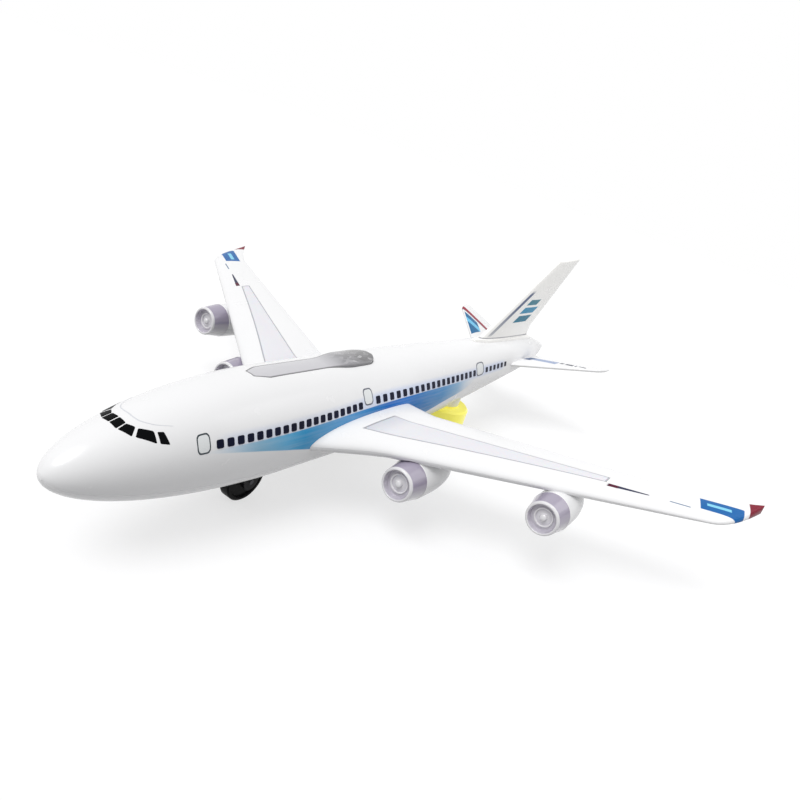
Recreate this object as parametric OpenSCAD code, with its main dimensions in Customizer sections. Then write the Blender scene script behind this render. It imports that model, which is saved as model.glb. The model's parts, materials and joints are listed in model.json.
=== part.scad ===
// Toy airliner with four lit engines and a bump-and-go drive pod.
// The nose points along +X, the left wing along +Y and the floor is z = 0.

/* [Body] */
// Nose tip ahead of the origin
nose_x = 215; // [210:1:220]
// Nose tip to the end of the tail cone
body_len = 417; // [414:1:425]
// Outside diameter of the straight part
body_d = 47.4; // [47:0.1:49]
// Height of the body's axis above the floor
axis_z = 39.4; // [39:0.1:41]
// Length of the rounded nose
nose_len = 100; // [95:1:102]
// Droop of the nose tip below the axis
nose_droop = 2.4; // [0:0.1:4]
// Length of the straight part behind the nose
straight_len = 85; // [84:1:90]
// Length of the slow taper behind the straight part
tail_len = 190; // [186:1:192]
// Diameter at the end of the slow taper
tail_d = 24; // [23:0.1:26]
// Rise of the axis along the slow taper
tail_rise = 7.9; // [7:0.1:9]
// Diameter of the blunt tail end
end_d = 5; // [4.5:0.1:7]
// Wall of the body shells
wall = 2; // [1.8:0.1:2.2]
// Seam of the two shells, degrees below level
seam_angle = 30; // [28:1:33]

/* [Roof light] */
// Front point of the roof window
roof_front_x = 131; // [129:0.5:133]
// Rear end of the roof window
roof_rear_x = 48; // [46:1:52]
// Half width of the roof window's narrow front part
roof_front_w = 5.1; // [4.8:0.1:5.6]
// Half width of the blister behind it
roof_half_w = 7.2; // [6.8:0.1:7.8]
// Height of the blister
roof_blister_h = 1.2; // [0.8:0.1:1.8]

/* [Wing] */
// Tip to tip
span = 379.4; // [370:0.2:390]
// Front edge at the body's side
wing_front_x = 98.5; // [96:0.5:101]
// Rear edge at the body's side
wing_rear_x = 32.5; // [31:0.5:34]
// Sweep of the front edge, degrees
wing_front_sweep = 36; // [35:0.2:37]
// Sweep of the rear edge, degrees
wing_rear_sweep = 25.8; // [25:0.2:26.4]
// Upward slope towards the tip, degrees
dihedral = 2; // [1:0.1:3]
// Downward tilt of the front edge, degrees
incidence = 3.6; // [3:0.1:4]
// Wing top above the body's axis, carried back to the origin
wing_lift = 6.1; // [5.6:0.1:6.6]
// Height of the upper half at the root
wing_top_t = 5; // [4.5:0.1:5.5]
// Depth of the lower half at the root
wing_under_t = 6; // [5.5:0.1:6.5]
// Wall of the wing shells
wing_wall = 1.6; // [1.4:0.1:1.8]
// Thickness of the light bar
bar_t = 1; // [0.8:0.1:1.1]

/* [Engines] */
// Inner engine from the middle of the body
inner_engine_y = 55.3; // [53:0.1:58]
// Outer engine inside the wing tip
outer_engine_in = 78; // [75:0.1:81]
// Lens rim ahead of the wing at the inner engine
inner_overhang = 8.3; // [7:0.1:10]
// Lens rim ahead of the wing at the outer engine
outer_overhang = 14.8; // [13:0.1:15]
// Inner engine axis below the wing's front edge
inner_drop = 11.2; // [11:0.1:11.6]
// Outer engine axis below the wing's front edge
outer_drop = 10.5; // [10.3:0.1:11]
// Outside diameter of the nacelle
nacelle_d = 19.2; // [18.8:0.1:20]
// Length of the nacelle behind the lens
nacelle_len = 32; // [30:0.5:36]
// Outside diameter of the lens at its rim
lens_d = 16; // [15.4:0.1:16.6]
// Length of the lens in front of the nacelle
lens_len = 11; // [10.5:0.1:12]

/* [Tail] */
// Front of the fin ahead of the tail's blunt end
fin_front_in = 124; // [122:0.5:126]
// Rear of the fin ahead of the tail's blunt end
fin_rear_in = 40; // [39.5:0.5:44]
// Height of the fin's rear tip above the floor
fin_tip_z = 120.9; // [116:0.1:126]
// Thickness of the fin at its foot
fin_t = 5; // [4.4:0.1:5.6]
// Tip to tip of the tailplane
tail_span = 125.6; // [120:0.2:132]
// Front edge of the tailplane ahead of the tail's blunt end
tail_front_in = 89; // [87:0.5:91]
// Thickness of the tailplane at its root
tailplane_t = 4; // [3.6:0.1:4.4]

/* [Nose wheel] */
// Nose wheel axle ahead of the origin
nose_wheel_x = 118.3; // [116:0.1:120]
// Diameter of the nose wheel
nose_wheel_d = 22; // [21:0.2:23]
// Width of the nose wheel
nose_wheel_w = 5.6; // [5:0.1:6]
// Diameter of the nose axle
nose_axle_d = 2.4; // [2.2:0.1:2.8]

/* [Drive pod] */
// Swivel axis of the drive pod
pod_x = -58; // [-59:0.5:-57]
// Outside diameter of the drive pod
pod_d = 36; // [35.6:0.2:38]
// Diameter of the drive wheels
drive_wheel_d = 19; // [18.4:0.1:19.2]
// Width of one drive wheel
drive_wheel_w = 6; // [5.4:0.1:6.2]
// Diameter of the drive axle
drive_axle_d = 2.4; // [2:0.1:2.8]
// Diameter of the upright drive shaft
shaft_d = 2.4; // [2:0.1:2.6]

/* [Gears] */
// Teeth of the motor pinion
pinion_teeth = 10; // [10:2:12]
// Teeth of the large idler wheel
idler_teeth = 40; // [38:2:40]
// Teeth of the small idler wheel
idler_small_teeth = 12; // [12:2:14]
// Teeth of the gear on the drive shaft
shaft_teeth = 36; // [34:2:36]
// Module of the fast gear pair
fast_module = 0.55; // [0.53:0.01:0.56]
// Module of the slow gear pair
slow_module = 0.6; // [0.58:0.01:0.6]

/* [Power] */
// Diameter of one battery cell
cell_d = 14.5; // [14.2:0.1:14.6]
// Length of one battery cell
cell_len = 50.5; // [50:0.1:51]
// Middle of the battery case along the body
case_x = 63; // [62.5:0.5:64]
// Middle of the power switch along the body
switch_x = 15; // [14.5:0.5:16]
// Travel of the power switch
switch_travel = 4; // [3:0.2:4.4]

/* [Clearances] */
// Gap round fixed pieces set into an opening
seat_gap = 0.2; // [0.15:0.01:0.25]
// Gap between pieces that move past each other
move_gap = 0.4; // [0.3:0.05:0.45]
// Radial clearance of a turning shaft
shaft_gap = 0.06; // [0.03:0.01:0.1]

/* [Hidden] */
$fn = 48;

white = [0.95, 0.95, 0.96];
board_green = [0.1, 0.4, 0.2];
steel = [0.72, 0.73, 0.76];
yellow = [0.98, 0.85, 0.1];
black = [0.07, 0.07, 0.08];
frosted = [0.9, 0.9, 0.94, 0.8];
lens_tint = [0.72, 0.68, 0.8, 0.6];

// A straight 0 to 1 ramp between two limits
function ramp(v, from, to) = min(1, max(0, (v - from) / (to - from)));
function mix(a, b, t) = a + (b - a) * t;
function flat(rows) = [for (row = rows) each row];

// Solid between two grids of points: rows along the piece, columns across it.
// A closed end is capped across its columns, an open one is a rim between the grids.
function quad(a, b, c, d) = [[a, b, c], [a, c, d]];
function rim(o, q, k, last) = [
    for (j = [0 : k - 2])
        each last ? quad(o + j, o + j + 1, q + j + 1, q + j) : quad(o + j + 1, o + j, q + j, q + j + 1)
];
function bridge(a, b, c, d, turned) = turned ? [[a, b, d], [b, c, d]] : quad(a, b, c, d);
function cap(o, q, k, last, turned) =
    let (up = [for (j = [0 : k - 1]) j], down = [for (j = [0 : k - 1]) k - 1 - j])
    concat(
        [[for (j = last ? up : down) o + j], [for (j = last ? down : up) q + j]],
        last ? bridge(o, o + k - 1, q + k - 1, q, turned) : bridge(o + k - 1, o, q, q + k - 1, turned));
function skin_faces(m, k, closed, turned) =
    let (q = m * k, rows = [0 : m - 2], cols = [0 : k - 2])
    concat(
        [for (i = rows, j = cols) each quad(i * k + j, i * k + j + 1, (i + 1) * k + j + 1, (i + 1) * k + j)],
        [for (i = rows, j = cols)
            each quad(q + i * k + j, q + (i + 1) * k + j, q + (i + 1) * k + j + 1, q + i * k + j + 1)],
        [for (i = rows) each quad(i * k, (i + 1) * k, q + (i + 1) * k, q + i * k)],
        [for (i = rows)
            each quad(i * k + k - 1, q + i * k + k - 1, q + (i + 1) * k + k - 1, (i + 1) * k + k - 1)],
        closed ? cap(0, q, k, false, turned) : rim(0, q, k, false),
        closed ? cap((m - 1) * k, q + (m - 1) * k, k, true, turned)
            : rim((m - 1) * k, q + (m - 1) * k, k, true));
function reversed(face) = [for (i = [len(face) - 1 : -1 : 0]) face[i]];
module skin(outer, inner, closed = true, flip = false, turned = false) {
    faces = skin_faces(len(outer), len(outer[0]), closed, turned);
    polyhedron(
        points = concat(flat(outer), flat(inner)),
        faces = flip ? [for (f = faces) reversed(f)] : faces,
        convexity = 8);
}

// Body lines
body_rad = body_d / 2;
nose_start = nose_x - nose_len;
taper_x = nose_start - straight_len;
tail_x = taper_x - tail_len;
end_x = nose_x - body_len;
nose_power = 0.52;
tail_power = 1.15;
end_power = 1.3;
end_rise = 0.5;
nose_cap = 0.15;
nose_steps = 9;
tail_steps = 8;
end_steps = 4;
ring_step = 12;
nose_skin = 2.2 * wall;
end_skin = 2 * wall;

function nose_rad(x) =
    body_rad * pow(max(0, 1 - pow((x - nose_start) / nose_len, 2)), nose_power);
function taper_rad(x) =
    body_rad - (body_rad - tail_d / 2) * pow(ramp(x, taper_x, tail_x), tail_power);
function end_rad(x) = tail_d / 2 - (tail_d - end_d) / 2 * pow(ramp(x, tail_x, end_x), end_power);
function body_r(x) =
    x > nose_start ? nose_rad(min(x, nose_x - nose_cap)) : x > tail_x ? taper_rad(x) : end_rad(x);
function body_z(x) =
    axis_z - nose_droop * pow(ramp(x, nose_start, nose_x), 2)
    + tail_rise * ramp(x, taper_x, tail_x) + end_rise * ramp(x, tail_x, end_x);
// Height of the body's skin above (side 1) or below (side -1), at a depth under it
function skin_z(x, y, side, depth = 0) =
    body_z(x) + side * sqrt(max(0, pow(body_r(x) - depth, 2) - y * y));
function seam_z(x) = body_z(x) - body_r(x) * sin(seam_angle);
function inner_x(x) = end_x + end_skin + (x - end_x) * (body_len - end_skin - nose_skin) / body_len;
body_stations = concat(
    [nose_x],
    [for (i = [1 : nose_steps]) nose_x - nose_len * (1 - cos(90 * i / nose_steps))],
    [taper_x],
    [for (i = [1 : tail_steps]) taper_x - tail_len * i / tail_steps],
    [for (i = [1 : end_steps]) mix(tail_x, end_x, i / end_steps)]);
function body_ring(x, depth, from, to, n) =
    [for (j = [0 : n])
        let (a = mix(from, to, j / n), r = body_r(x) - depth)
        [x, r * cos(a), body_z(x) + r * sin(a)]];
module body_shell(from, to) {
    n = round((to - from) / ring_step);
    skin(
        [for (x = body_stations) body_ring(x, 0, from, to, n)],
        [for (x = body_stations) body_ring(inner_x(x), wall, from, to, n)]);
}

// Posts that run from a given height into the wall of one shell
module post(x, y, r, z, side) {
    z_wall = skin_z(x, abs(y) + r, side, wall / 2);
    translate([x, y, min(z, z_wall)]) cylinder(r = r, h = abs(z_wall - z));
}

// Case screws that clamp the shells
screw_d = 2.4;
screw_head_d = 4.6;
screw_head_h = 1.8;
screw_len = 13;
boss_r = 3.4;
pilot_r = screw_d / 2;
mid_screw_y = 8;
nose_screw_x = 178;
mid_screw_x = 5;
tail_screw_x = -100;
case_screw_at = [
    [nose_screw_x, 0], [mid_screw_x, mid_screw_y], [mid_screw_x, -mid_screw_y], [tail_screw_x, 0]
];
// The head of each case screw sits in a well under the seam
screw_seat_depth = 4.5;
function screw_seat_z(p) = seam_z(p[0]) - screw_seat_depth;
module screw(z_head, shank) {
    translate([0, 0, z_head - screw_head_h]) cylinder(d = screw_head_d, h = screw_head_h);
    translate([0, 0, z_head]) cylinder(d = screw_d, h = shank);
}

// Wing lines
tip_y = span / 2;
rake_len = 18;
rear_rake_len = 28;
front_rake = 28.5;
rear_rake = 12.5;
rear_kink_y = 38;
strake = 13;
strake_y = 45;
front_drop = 2.9;
rear_drop = 0.9;
tip_t = 1.6;
rear_edge_t = 0.8;
section_step = 15;
wing_steps = 15;
root_sink = 3.5;
root_rib = 2;
tip_solid = 20;
root_gap = 0.05;
part_gap = 0.06;
root_y = body_rad - root_sink;

function rake(y, len, power) = pow(ramp(y, tip_y - len, tip_y), power);
function wing_line(y) = wing_front_x - tan(wing_front_sweep) * (y - body_rad);
function wing_front(y) =
    wing_line(y) + strake * pow(1 - ramp(y, root_y, strake_y), 1.3) - front_rake * rake(y, rake_len, 2.2);
function wing_rear(y) =
    wing_rear_x - tan(wing_rear_sweep) * max(0, y - rear_kink_y) - rear_rake * rake(y, rear_rake_len, 1.5);
function wing_plane(x, y) = axis_z + wing_lift + tan(dihedral) * y - tan(incidence) * x;
function chord_z(x, y, s) = wing_plane(x, y) - mix(front_drop, rear_drop, s);
function wing_t(y, root) = mix(tip_t, root, pow(1 - ramp(y, body_rad, tip_y), 0.9));
// Section: blunt in front, thin behind, highest near a third of the chord
function bulge(a) = sin(a) * (1 - 0.55 * (1 - cos(a)) / 2) / 0.77;
function wing_ring(y, side, t, front, rear) =
    concat(
        [for (a = [0 : section_step : 180])
            let (s = (1 - cos(a)) / 2, x = mix(front, rear, s), f = (wing_front(y) - x)
                / (wing_front(y) - wing_rear(y)))
            [x, y, chord_z(x, y, f) - part_gap * (side < 0 ? 1 : 0)
                + side * (t * bulge(a) + rear_edge_t * s * s * s)]],
        [[rear, y, chord_z(rear, y, (wing_front(y) - rear) / (wing_front(y) - wing_rear(y)))
            - part_gap * (side < 0 ? 1 : 0)]]);
// Rows of the wing are closer together towards the tip
function wing_row(i, from, to) = mix(from, to, sin(90 * i / wing_steps));
// The lower half runs its columns the other way, so that its skin faces outwards too
function wing_turn(ring, side) = side > 0 ? ring : reversed(ring);
module wing_skin(side, root_t) {
    edge = 2.4 * wing_wall;
    skin(
        [for (i = [0 : wing_steps])
            let (y = wing_row(i, root_y, tip_y))
            wing_turn(wing_ring(y, side, wing_t(y, root_t), wing_front(y), wing_rear(y)), side)],
        [for (i = [0 : wing_steps])
            let (y = wing_row(i, body_rad + root_rib, tip_y - tip_solid))
            wing_turn(wing_ring(y, side, max(0.3, wing_t(y, root_t) - wing_wall),
                wing_front(y) - edge, wing_rear(y) + edge), side)],
        turned = side < 0);
}
module body_clearance() {
    translate([wing_rear_x - strake, 0, axis_z]) rotate([0, 90, 0])
        cylinder(r = body_rad + root_gap, h = wing_front_x - wing_rear_x + 3 * strake, $fn = 96);
}
// Root tongue that plugs into the body's side
tongue_x = 66;
tongue_w = 14;
tongue_h = 2.6;
tongue_in = 5;
wire_r = 1.6;
tongue_z = chord_z(tongue_x - tongue_w / 2, body_rad + root_rib, 0.6) + 0.3;
module tongue(gap = 0) {
    translate([tongue_x - tongue_w / 2 - gap, body_rad - tongue_in - gap, tongue_z - gap])
        cube([tongue_w + 2 * gap, tongue_in + root_rib + gap, tongue_h + 2 * gap]);
}
module wire_hole() {
    translate([tongue_x - tongue_w, root_y - wall, tongue_z - wire_r])
        rotate([-90, 0, 0]) cylinder(r = wire_r, h = 3 * wall + root_rib + root_sink);
}

// Light bar let into the wing's top
bar_y0 = 30;
bar_tip_in = 65.7;
bar_y1 = tip_y - bar_tip_in;
bar_front = [0.185, 0.4];
bar_rear = [0.6, 0.58];
bar_ledge = 1.4;
bar_rows = 8;
bar_cols = 4;
function wing_top_z(x, y) =
    let (s = (wing_front(y) - x) / (wing_front(y) - wing_rear(y)), a = acos(1 - 2 * s))
    chord_z(x, y, s) + wing_t(y, wing_top_t) * bulge(a) + rear_edge_t * s * s * s;
function bar_x(y, v, grow) =
    let (w = (y - bar_y0) / (bar_y1 - bar_y0), c = wing_line(y) - wing_rear(y),
        front = mix(bar_front[0], bar_front[1], w) - grow / c,
        rear = mix(bar_rear[0], bar_rear[1], w) + grow / c)
    wing_line(y) - c * mix(front, rear, v);
function bar_grid(grow, rise) =
    [for (i = [0 : bar_rows])
        let (y = mix(bar_y0 - grow, bar_y1 + grow, i / bar_rows))
        [for (j = [0 : bar_cols])
            let (x = bar_x(y, j / bar_cols, grow))
            [x, y, wing_top_z(x, y) + rise]]];
module bar_slab(grow, top, bottom) {
    skin(bar_grid(grow, top), bar_grid(grow, bottom), closed = false);
}
// Lamp board under the light bar, on stalks from the lower shell
board_t = 1;
board_half_w = 2.2;
lamp_r = 1.5;
lamp_h = 1.2;
lamp_gap = 0.3;
board_in = 11;
board_y0 = bar_y0 + board_in;
board_y1 = bar_y1 - board_in;
lamp_count = 5;
stalk_r = 1.4;
function board_x(y) = bar_x(y, 0.5, 0);
function board_z(y) =
    wing_top_z(board_x(y), y) - bar_t - bar_ledge - lamp_h - lamp_gap - board_t;
function board_grid(rise) =
    [for (y = [board_y0, board_y1])
        [for (v = [-board_half_w, board_half_w]) [board_x(y) - v, y, board_z(y) + rise]]];

// Engines: place of the lens rim's middle
nacelle_r = nacelle_d / 2;
nacelle_wall = 1.5;
spigot_len = 3;
lamp_deep = 16;
engine_lamp_d = 5;
engine_lamp_len = 7;
outer_engine_y = tip_y - outer_engine_in;
function engine_at(y, overhang, drop) =
    [wing_line(y) + overhang, y, chord_z(wing_line(y), y, 0) - drop];
left_inner = engine_at(inner_engine_y, inner_overhang, inner_drop);
left_outer = engine_at(outer_engine_y, outer_overhang, outer_drop);
engines = [left_inner, left_outer];
function right(p) = [p[0], -p[1], p[2]];
// Turns a profile (radius, distance behind the rim) about the engine's axis
module engine_axis(p) {
    translate(p) rotate([0, -90, 0]) children();
}
module nacelle_body(p) {
    engine_axis(p) translate([0, 0, lens_len]) rotate_extrude()
        polygon(concat(
            [[0, 0], [nacelle_r, 0]],
            [for (i = [0 : 8])
                [nacelle_r * cos(72 * i / 8), mix(nacelle_len * 0.3, nacelle_len, sin(90 * i / 8))]],
            [[0, nacelle_len]]));
}
// Bore for the lens and lamp, and a notch in the wing's front edge for the lens
module nacelle_bore(p) {
    engine_axis(p) cylinder(r = nacelle_r + seat_gap / 2, h = lens_len);
    engine_axis(p) translate([0, 0, lens_len - 1]) {
        cylinder(r = nacelle_r - nacelle_wall, h = spigot_len + 1 + seat_gap);
        cylinder(r = nacelle_r - 2 * nacelle_wall, h = lamp_deep + 1 - lens_len);
    }
}
module engine_lens(p) {
    rim_r = lens_d / 2;
    spigot_r = nacelle_r - nacelle_wall - seat_gap / 2;
    lip = 0.9;
    face_z = 3.2;
    face_t = 1.8;
    ring_w = 1;
    ring_h = 0.8;
    boss_r = 1.7;
    well_r = rim_r - 2 * lip;
    ring_r = mix(boss_r, well_r, 0.45);
    color(lens_tint) engine_axis(p) rotate_extrude()
        polygon([
            [0, face_z - 2], [boss_r * 0.7, face_z - 1.8], [boss_r, face_z - 1.2], [boss_r, face_z],
            [ring_r, face_z], [ring_r + ring_w * 0.2, face_z - ring_h],
            [ring_r + ring_w * 0.8, face_z - ring_h], [ring_r + ring_w, face_z],
            [well_r, face_z], [well_r + lip * 0.5, lip * 0.3], [well_r + lip, 0],
            [rim_r - lip * 0.4, lip * 0.2],
            [rim_r, lip], [nacelle_r - 0.1, lens_len], [spigot_r, lens_len],
            [spigot_r, lens_len + spigot_len], [spigot_r - nacelle_wall, lens_len + spigot_len],
            [well_r - lip, face_z + face_t], [0, face_z + face_t]
        ]);
}

// Roof window: a blunt front, a wider blister behind
roof_point_len = 7;
roof_point_w = 0.45;
roof_end_len = 9;
roof_t = 1.2;
roof_ledge = 1.5;
roof_rows = 14;
roof_cols = 4;
blister_x = 88;
blister_run = 20;
function blister(x) =
    let (t = ramp(x, blister_x, blister_x - blister_run))
    t * t * (3 - 2 * t);
function roof_w(x) =
    mix(roof_front_w, roof_half_w, blister(x))
    * mix(roof_point_w, 1, ramp(x, roof_front_x, roof_front_x - roof_point_len))
    * sqrt(max(0.08, 1 - pow(1 - ramp(x, roof_rear_x, roof_rear_x + roof_end_len), 2)));
function roof_rise(x) = roof_blister_h * blister(x);
function roof_grid(grow, rise, blister) =
    [for (i = [0 : roof_rows])
        let (u = i / roof_rows, x = mix(roof_front_x, roof_rear_x, u), w = max(0.8, roof_w(x) + grow),
            xg = x + grow * (1 - 2 * u))
        [for (j = [0 : roof_cols])
            let (y = w * (2 * j / roof_cols - 1))
            [xg, y, skin_z(x, y, 1) + rise + blister * roof_rise(x)]]];
module roof_slab(grow, top, bottom, blister) {
    skin(roof_grid(grow, top, blister), roof_grid(grow, bottom, 0), closed = false, flip = true);
}

// Tail surfaces
fin_rows = [0, 0.14, 0.4, 0.7, 1];
fin_cols = 8;
fin_top_t = 0.45;
fin_sweep = 59.3;
fin_rear_slope = 45;
fin_kink = 8;
fin_top_fall = 2.8;
fin_foot_h = 1.4;
fin_foot_gap = 0.1;
fin_foot_half_w = 4.2;
fin_foot_front = 6;
fin_front_x = end_x + fin_front_in;
fin_rear_x = end_x + fin_rear_in;
fin_tab_in = 14;
fin_tab_len = 26;
fin_tab_x0 = fin_rear_x + fin_tab_in;
fin_tab_x1 = fin_tab_x0 + fin_tab_len;
fin_tab_t = 2.4;
fin_tab_h = 5;
function fin_foot_z(x) = skin_z(x, 0, 1) + fin_foot_h / 2;
fin_tab_z = fin_foot_z(fin_tab_x0) - fin_tab_h;
function fin_front_at(z) = fin_front_x - (z - fin_foot_z(fin_front_x)) * tan(fin_sweep);
function fin_rear_at(z) = fin_rear_x - max(0, z - fin_foot_z(fin_rear_x) - fin_kink) * tan(fin_rear_slope);
function fin_grid(side) =
    [for (w = fin_rows)
        let (z_front = mix(fin_foot_z(fin_front_x), fin_tip_z - fin_top_fall, w),
            z_rear = mix(fin_foot_z(fin_rear_x), fin_tip_z, w))
        [for (j = [0 : fin_cols])
            let (a = 180 * j / fin_cols, s = (1 - cos(a)) / 2)
            [mix(fin_front_at(z_front), fin_rear_at(z_rear), s),
                side * (0.35 + fin_t / 2 * mix(1, fin_top_t, w) * bulge(a)),
                mix(z_front, z_rear, s)]]];
function foot_grid(rise) =
    [for (i = [0 : 6])
        let (x = mix(fin_front_x + fin_foot_front, fin_rear_x, i / 6),
            w = fin_foot_half_w * (i == 0 ? 0.35 : 1))
        [for (j = [0 : 4])
            let (y = w * (j / 2 - 1))
            [x, y, skin_z(x, y, 1) + rise]]];

tailplane_root_y = 5;
tailplane_tip_y = tail_span / 2;
tailplane_sweep = 51;
tail_front_x = end_x + tail_front_in;
tailplane_rear_in = 34;
tailplane_rear_x = end_x + tailplane_rear_in;
tailplane_rear_sweep = 18;
tailplane_lift = 1.7;
tailplane_dihedral = 12;
tailplane_tip_t = 0.5;
tailplane_cols = 8;
tailplane_tab = 6;
tab_back = 30;
tab_x = tail_front_x - tab_back;
tab_w = 14;
tab_t = 2;
function tailplane_front(y) = tail_front_x - tan(tailplane_sweep) * (y - body_r(tail_front_x));
function tailplane_rear(y) = tailplane_rear_x - tan(tailplane_rear_sweep) * (y - tailplane_root_y);
function tailplane_z(y) =
    body_z(tail_front_x) + tailplane_lift + tan(tailplane_dihedral) * (y - body_r(tail_front_x));
function tailplane_grid(side) =
    [for (w = [0, 0.25, 0.5, 0.75, 0.92, 1])
        let (y = mix(tailplane_root_y, tailplane_tip_y, w), tip = w < 1 ? 0 : 3)
        [for (j = [0 : tailplane_cols])
            let (a = 180 * j / tailplane_cols, s = (1 - cos(a)) / 2)
            [mix(tailplane_front(y) - 2 * tip, tailplane_rear(y) + tip / 3, s), y,
                tailplane_z(y) + side * (0.3 + tailplane_t / 2 * mix(1, tailplane_tip_t, w) * bulge(a))]]];
module body_solid(grow) {
    n = 360 / ring_step;
    rows = [for (x = body_stations) if (x < taper_x) body_ring(x, -grow, 90, 450, n)];
    m = len(rows);
    half = n / 2;
    skin(
        [for (row = rows) [for (j = [0 : half]) row[j]]],
        [for (row = rows) [for (j = [0 : half]) row[n - j]]],
        closed = false);
}

// Nose gear
nose_wheel_r = nose_wheel_d / 2;
nose_cheek_t = 2.2;
nose_side_gap = move_gap;
nose_cheek_y = nose_wheel_w / 2 + nose_side_gap;
fork_half_w = nose_cheek_y + nose_cheek_t;
fork_half_len = nose_wheel_r + move_gap + 1.4;
fork_flange = 2;
fork_flange_t = 1.5;
cheek_r = 4.2;
fork_well_z = nose_wheel_d + 2 * move_gap;
fork_top_z = fork_well_z + 1.6;
belly_z = axis_z - body_rad;
fork_flange_x = nose_wheel_x + fork_half_len + fork_flange;
fork_flange_z = skin_z(fork_flange_x, fork_half_w + fork_flange, -1, wall) + seat_gap;

// Drive pod
pod_r = pod_d / 2;
pod_wall = 1.6;
pod_floor_z = 3;
pod_base_t = 1.5;
pod_bottom_z = pod_floor_z + pod_base_t;
drive_wheel_r = drive_wheel_d / 2;
tyre_t = 2;
pod_ceiling_z = drive_wheel_d + 0.3;
pod_top_z = pod_ceiling_z + 1.5;
neck_r = 6;
neck_step_r = 5;
socket_r = 11;
socket_z = pod_top_z + move_gap;
socket_top_z = skin_z(pod_x, 0, -1, wall) + 2.2;
neck_shoulder_z = socket_top_z + move_gap - 0.1;
retainer_t = 1.5;
retainer_r = 8;
neck_top_z = neck_shoulder_z + retainer_t + 0.3;
cheek_t = 1.6;
pod_screw_x = 12.6;
bearing_half_l = 5;
pod_screw_len = 9;
pod_boss_r = 2.2;
crown_r = drive_wheel_r - pod_bottom_z - move_gap;
crown_t = 1.2;
crown_tooth_h = 0.7;
crown_teeth = 16;
shaft_pinion_teeth = 8;
shaft_pinion_r = 1.75;
crown_y = shaft_pinion_r + move_gap + crown_tooth_h;
cheek_y = crown_y + crown_t + move_gap;
wheel_y = cheek_y + cheek_t + 0.9;

// Gear train heights and axes
gear_t = 2.4;
gear_gap = 0.6;
base_plate_z = 41.5;
base_plate_t = 2;
slow_gear_z = base_plate_z + base_plate_t + gear_gap;
fast_gear_z = slow_gear_z + gear_t + 1.4;
cover_z = fast_gear_z + gear_t + gear_gap + 0.4;
cover_t = 1.6;
slow_distance = slow_module * (shaft_teeth + idler_small_teeth) / 2;
fast_distance = fast_module * (pinion_teeth + idler_teeth) / 2;
idler_x = pod_x + slow_distance;
motor_x = idler_x + fast_distance;
idler_pin_r = 1;
motor_l = 12;
motor_w = 15.4;
motor_h = 17;
motor_top_z = fast_gear_z - gear_gap - 1;
motor_shaft_r = 0.75;
motor_boss_r = 3;
plate_half_w = 9.5;
leg_r = 2.6;
cradle = 1.5;
plate_x0 = pod_x - slow_module * (shaft_teeth + 2) / 2 - 2 * leg_r;
plate_x1 = motor_x + motor_l / 2 + cradle + 2 * leg_r + 0.6;
leg_z = 35;
leg_y = 7.5;
leg_at = [for (x = [plate_x0 + leg_r, plate_x1 - leg_r], s = [1, -1]) [x, s * leg_y]];
gear_screw_len = 8;
// Spur wheel with straight flanks and backlash, tooth 0 along +X at phase 0
tooth_share = 0.36;
function gear_point(teeth, m, i, r_off, share) =
    let (pitch = 360 / teeth, r = m * teeth / 2 + r_off)
    [r * cos(pitch * (i + share)), r * sin(pitch * (i + share))];
module gear(teeth, m, h, bore_r, phase = 0) {
    addendum = 0.9 * m;
    dedendum = 1.15 * m;
    half = tooth_share / 2;
    difference() {
        rotate([0, 0, phase]) linear_extrude(h)
            polygon([for (i = [0 : teeth - 1])
                each [
                    gear_point(teeth, m, i, -dedendum, -half * 1.5),
                    gear_point(teeth, m, i, addendum, -half * 0.5),
                    gear_point(teeth, m, i, addendum, half * 0.5),
                    gear_point(teeth, m, i, -dedendum, half * 1.5)
                ]]);
        translate([0, 0, -1]) cylinder(r = bore_r, h = h + 2);
    }
}

// Battery case, cells and door
cell_r = cell_d / 2;
cell_gap = 0.25;
contact_t = 0.5;
contact_bump = 1.2;
cell_pair_y = cell_r + cell_gap;
case_skin = wall + seat_gap;
cell_low_z = axis_z - sqrt(pow(body_rad - wall - cell_r - 2 * cell_gap, 2) - pow(cell_pair_y, 2));
cell_high_z = cell_low_z + sqrt(pow(cell_d + cell_gap, 2) - pow(cell_pair_y, 2));
case_cavity = cell_len + 2 * (contact_t + contact_bump) + 0.4;
case_wall = 2;
case_block = 8;
case_len = case_cavity + case_wall + case_block;
case_x0 = case_x - case_len / 2;
cavity_x0 = case_x0 + case_block;
cell_x0 = cavity_x0 + contact_t + contact_bump + 0.2;
case_half_w = cell_pair_y + cell_r + case_wall;
case_top_z = cell_high_z + cell_r + cell_gap + case_wall;
door_half_w = 15;
door_lip = 1;
door_x0 = case_x0 - door_lip;
door_x1 = case_x0 + case_len + door_lip;
door_screw_x = case_x0 + case_block / 2;
door_screw_len = 7;
case_floor_r = body_rad - case_skin - 0.15;
cells = [[cell_pair_y, cell_low_z], [-cell_pair_y, cell_low_z], [0, cell_high_z]];
module along_x(x, len) {
    translate([x, 0, 0]) rotate([90, 0, 90]) linear_extrude(len) children();
}

// Switch
switch_l = 14;
switch_w = 7;
switch_h = 5;
switch_belly_z = skin_z(switch_x, 0, -1);
switch_pad_z = skin_z(switch_x - switch_l / 2, switch_w / 2 + 1, -1, wall) + 0.6;
slider_l = 4.6;
slider_w = 3;
slider_h = 2.6;
stem_l = 3;
stem_w = 2.2;
knob_proud = 1.4;

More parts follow.
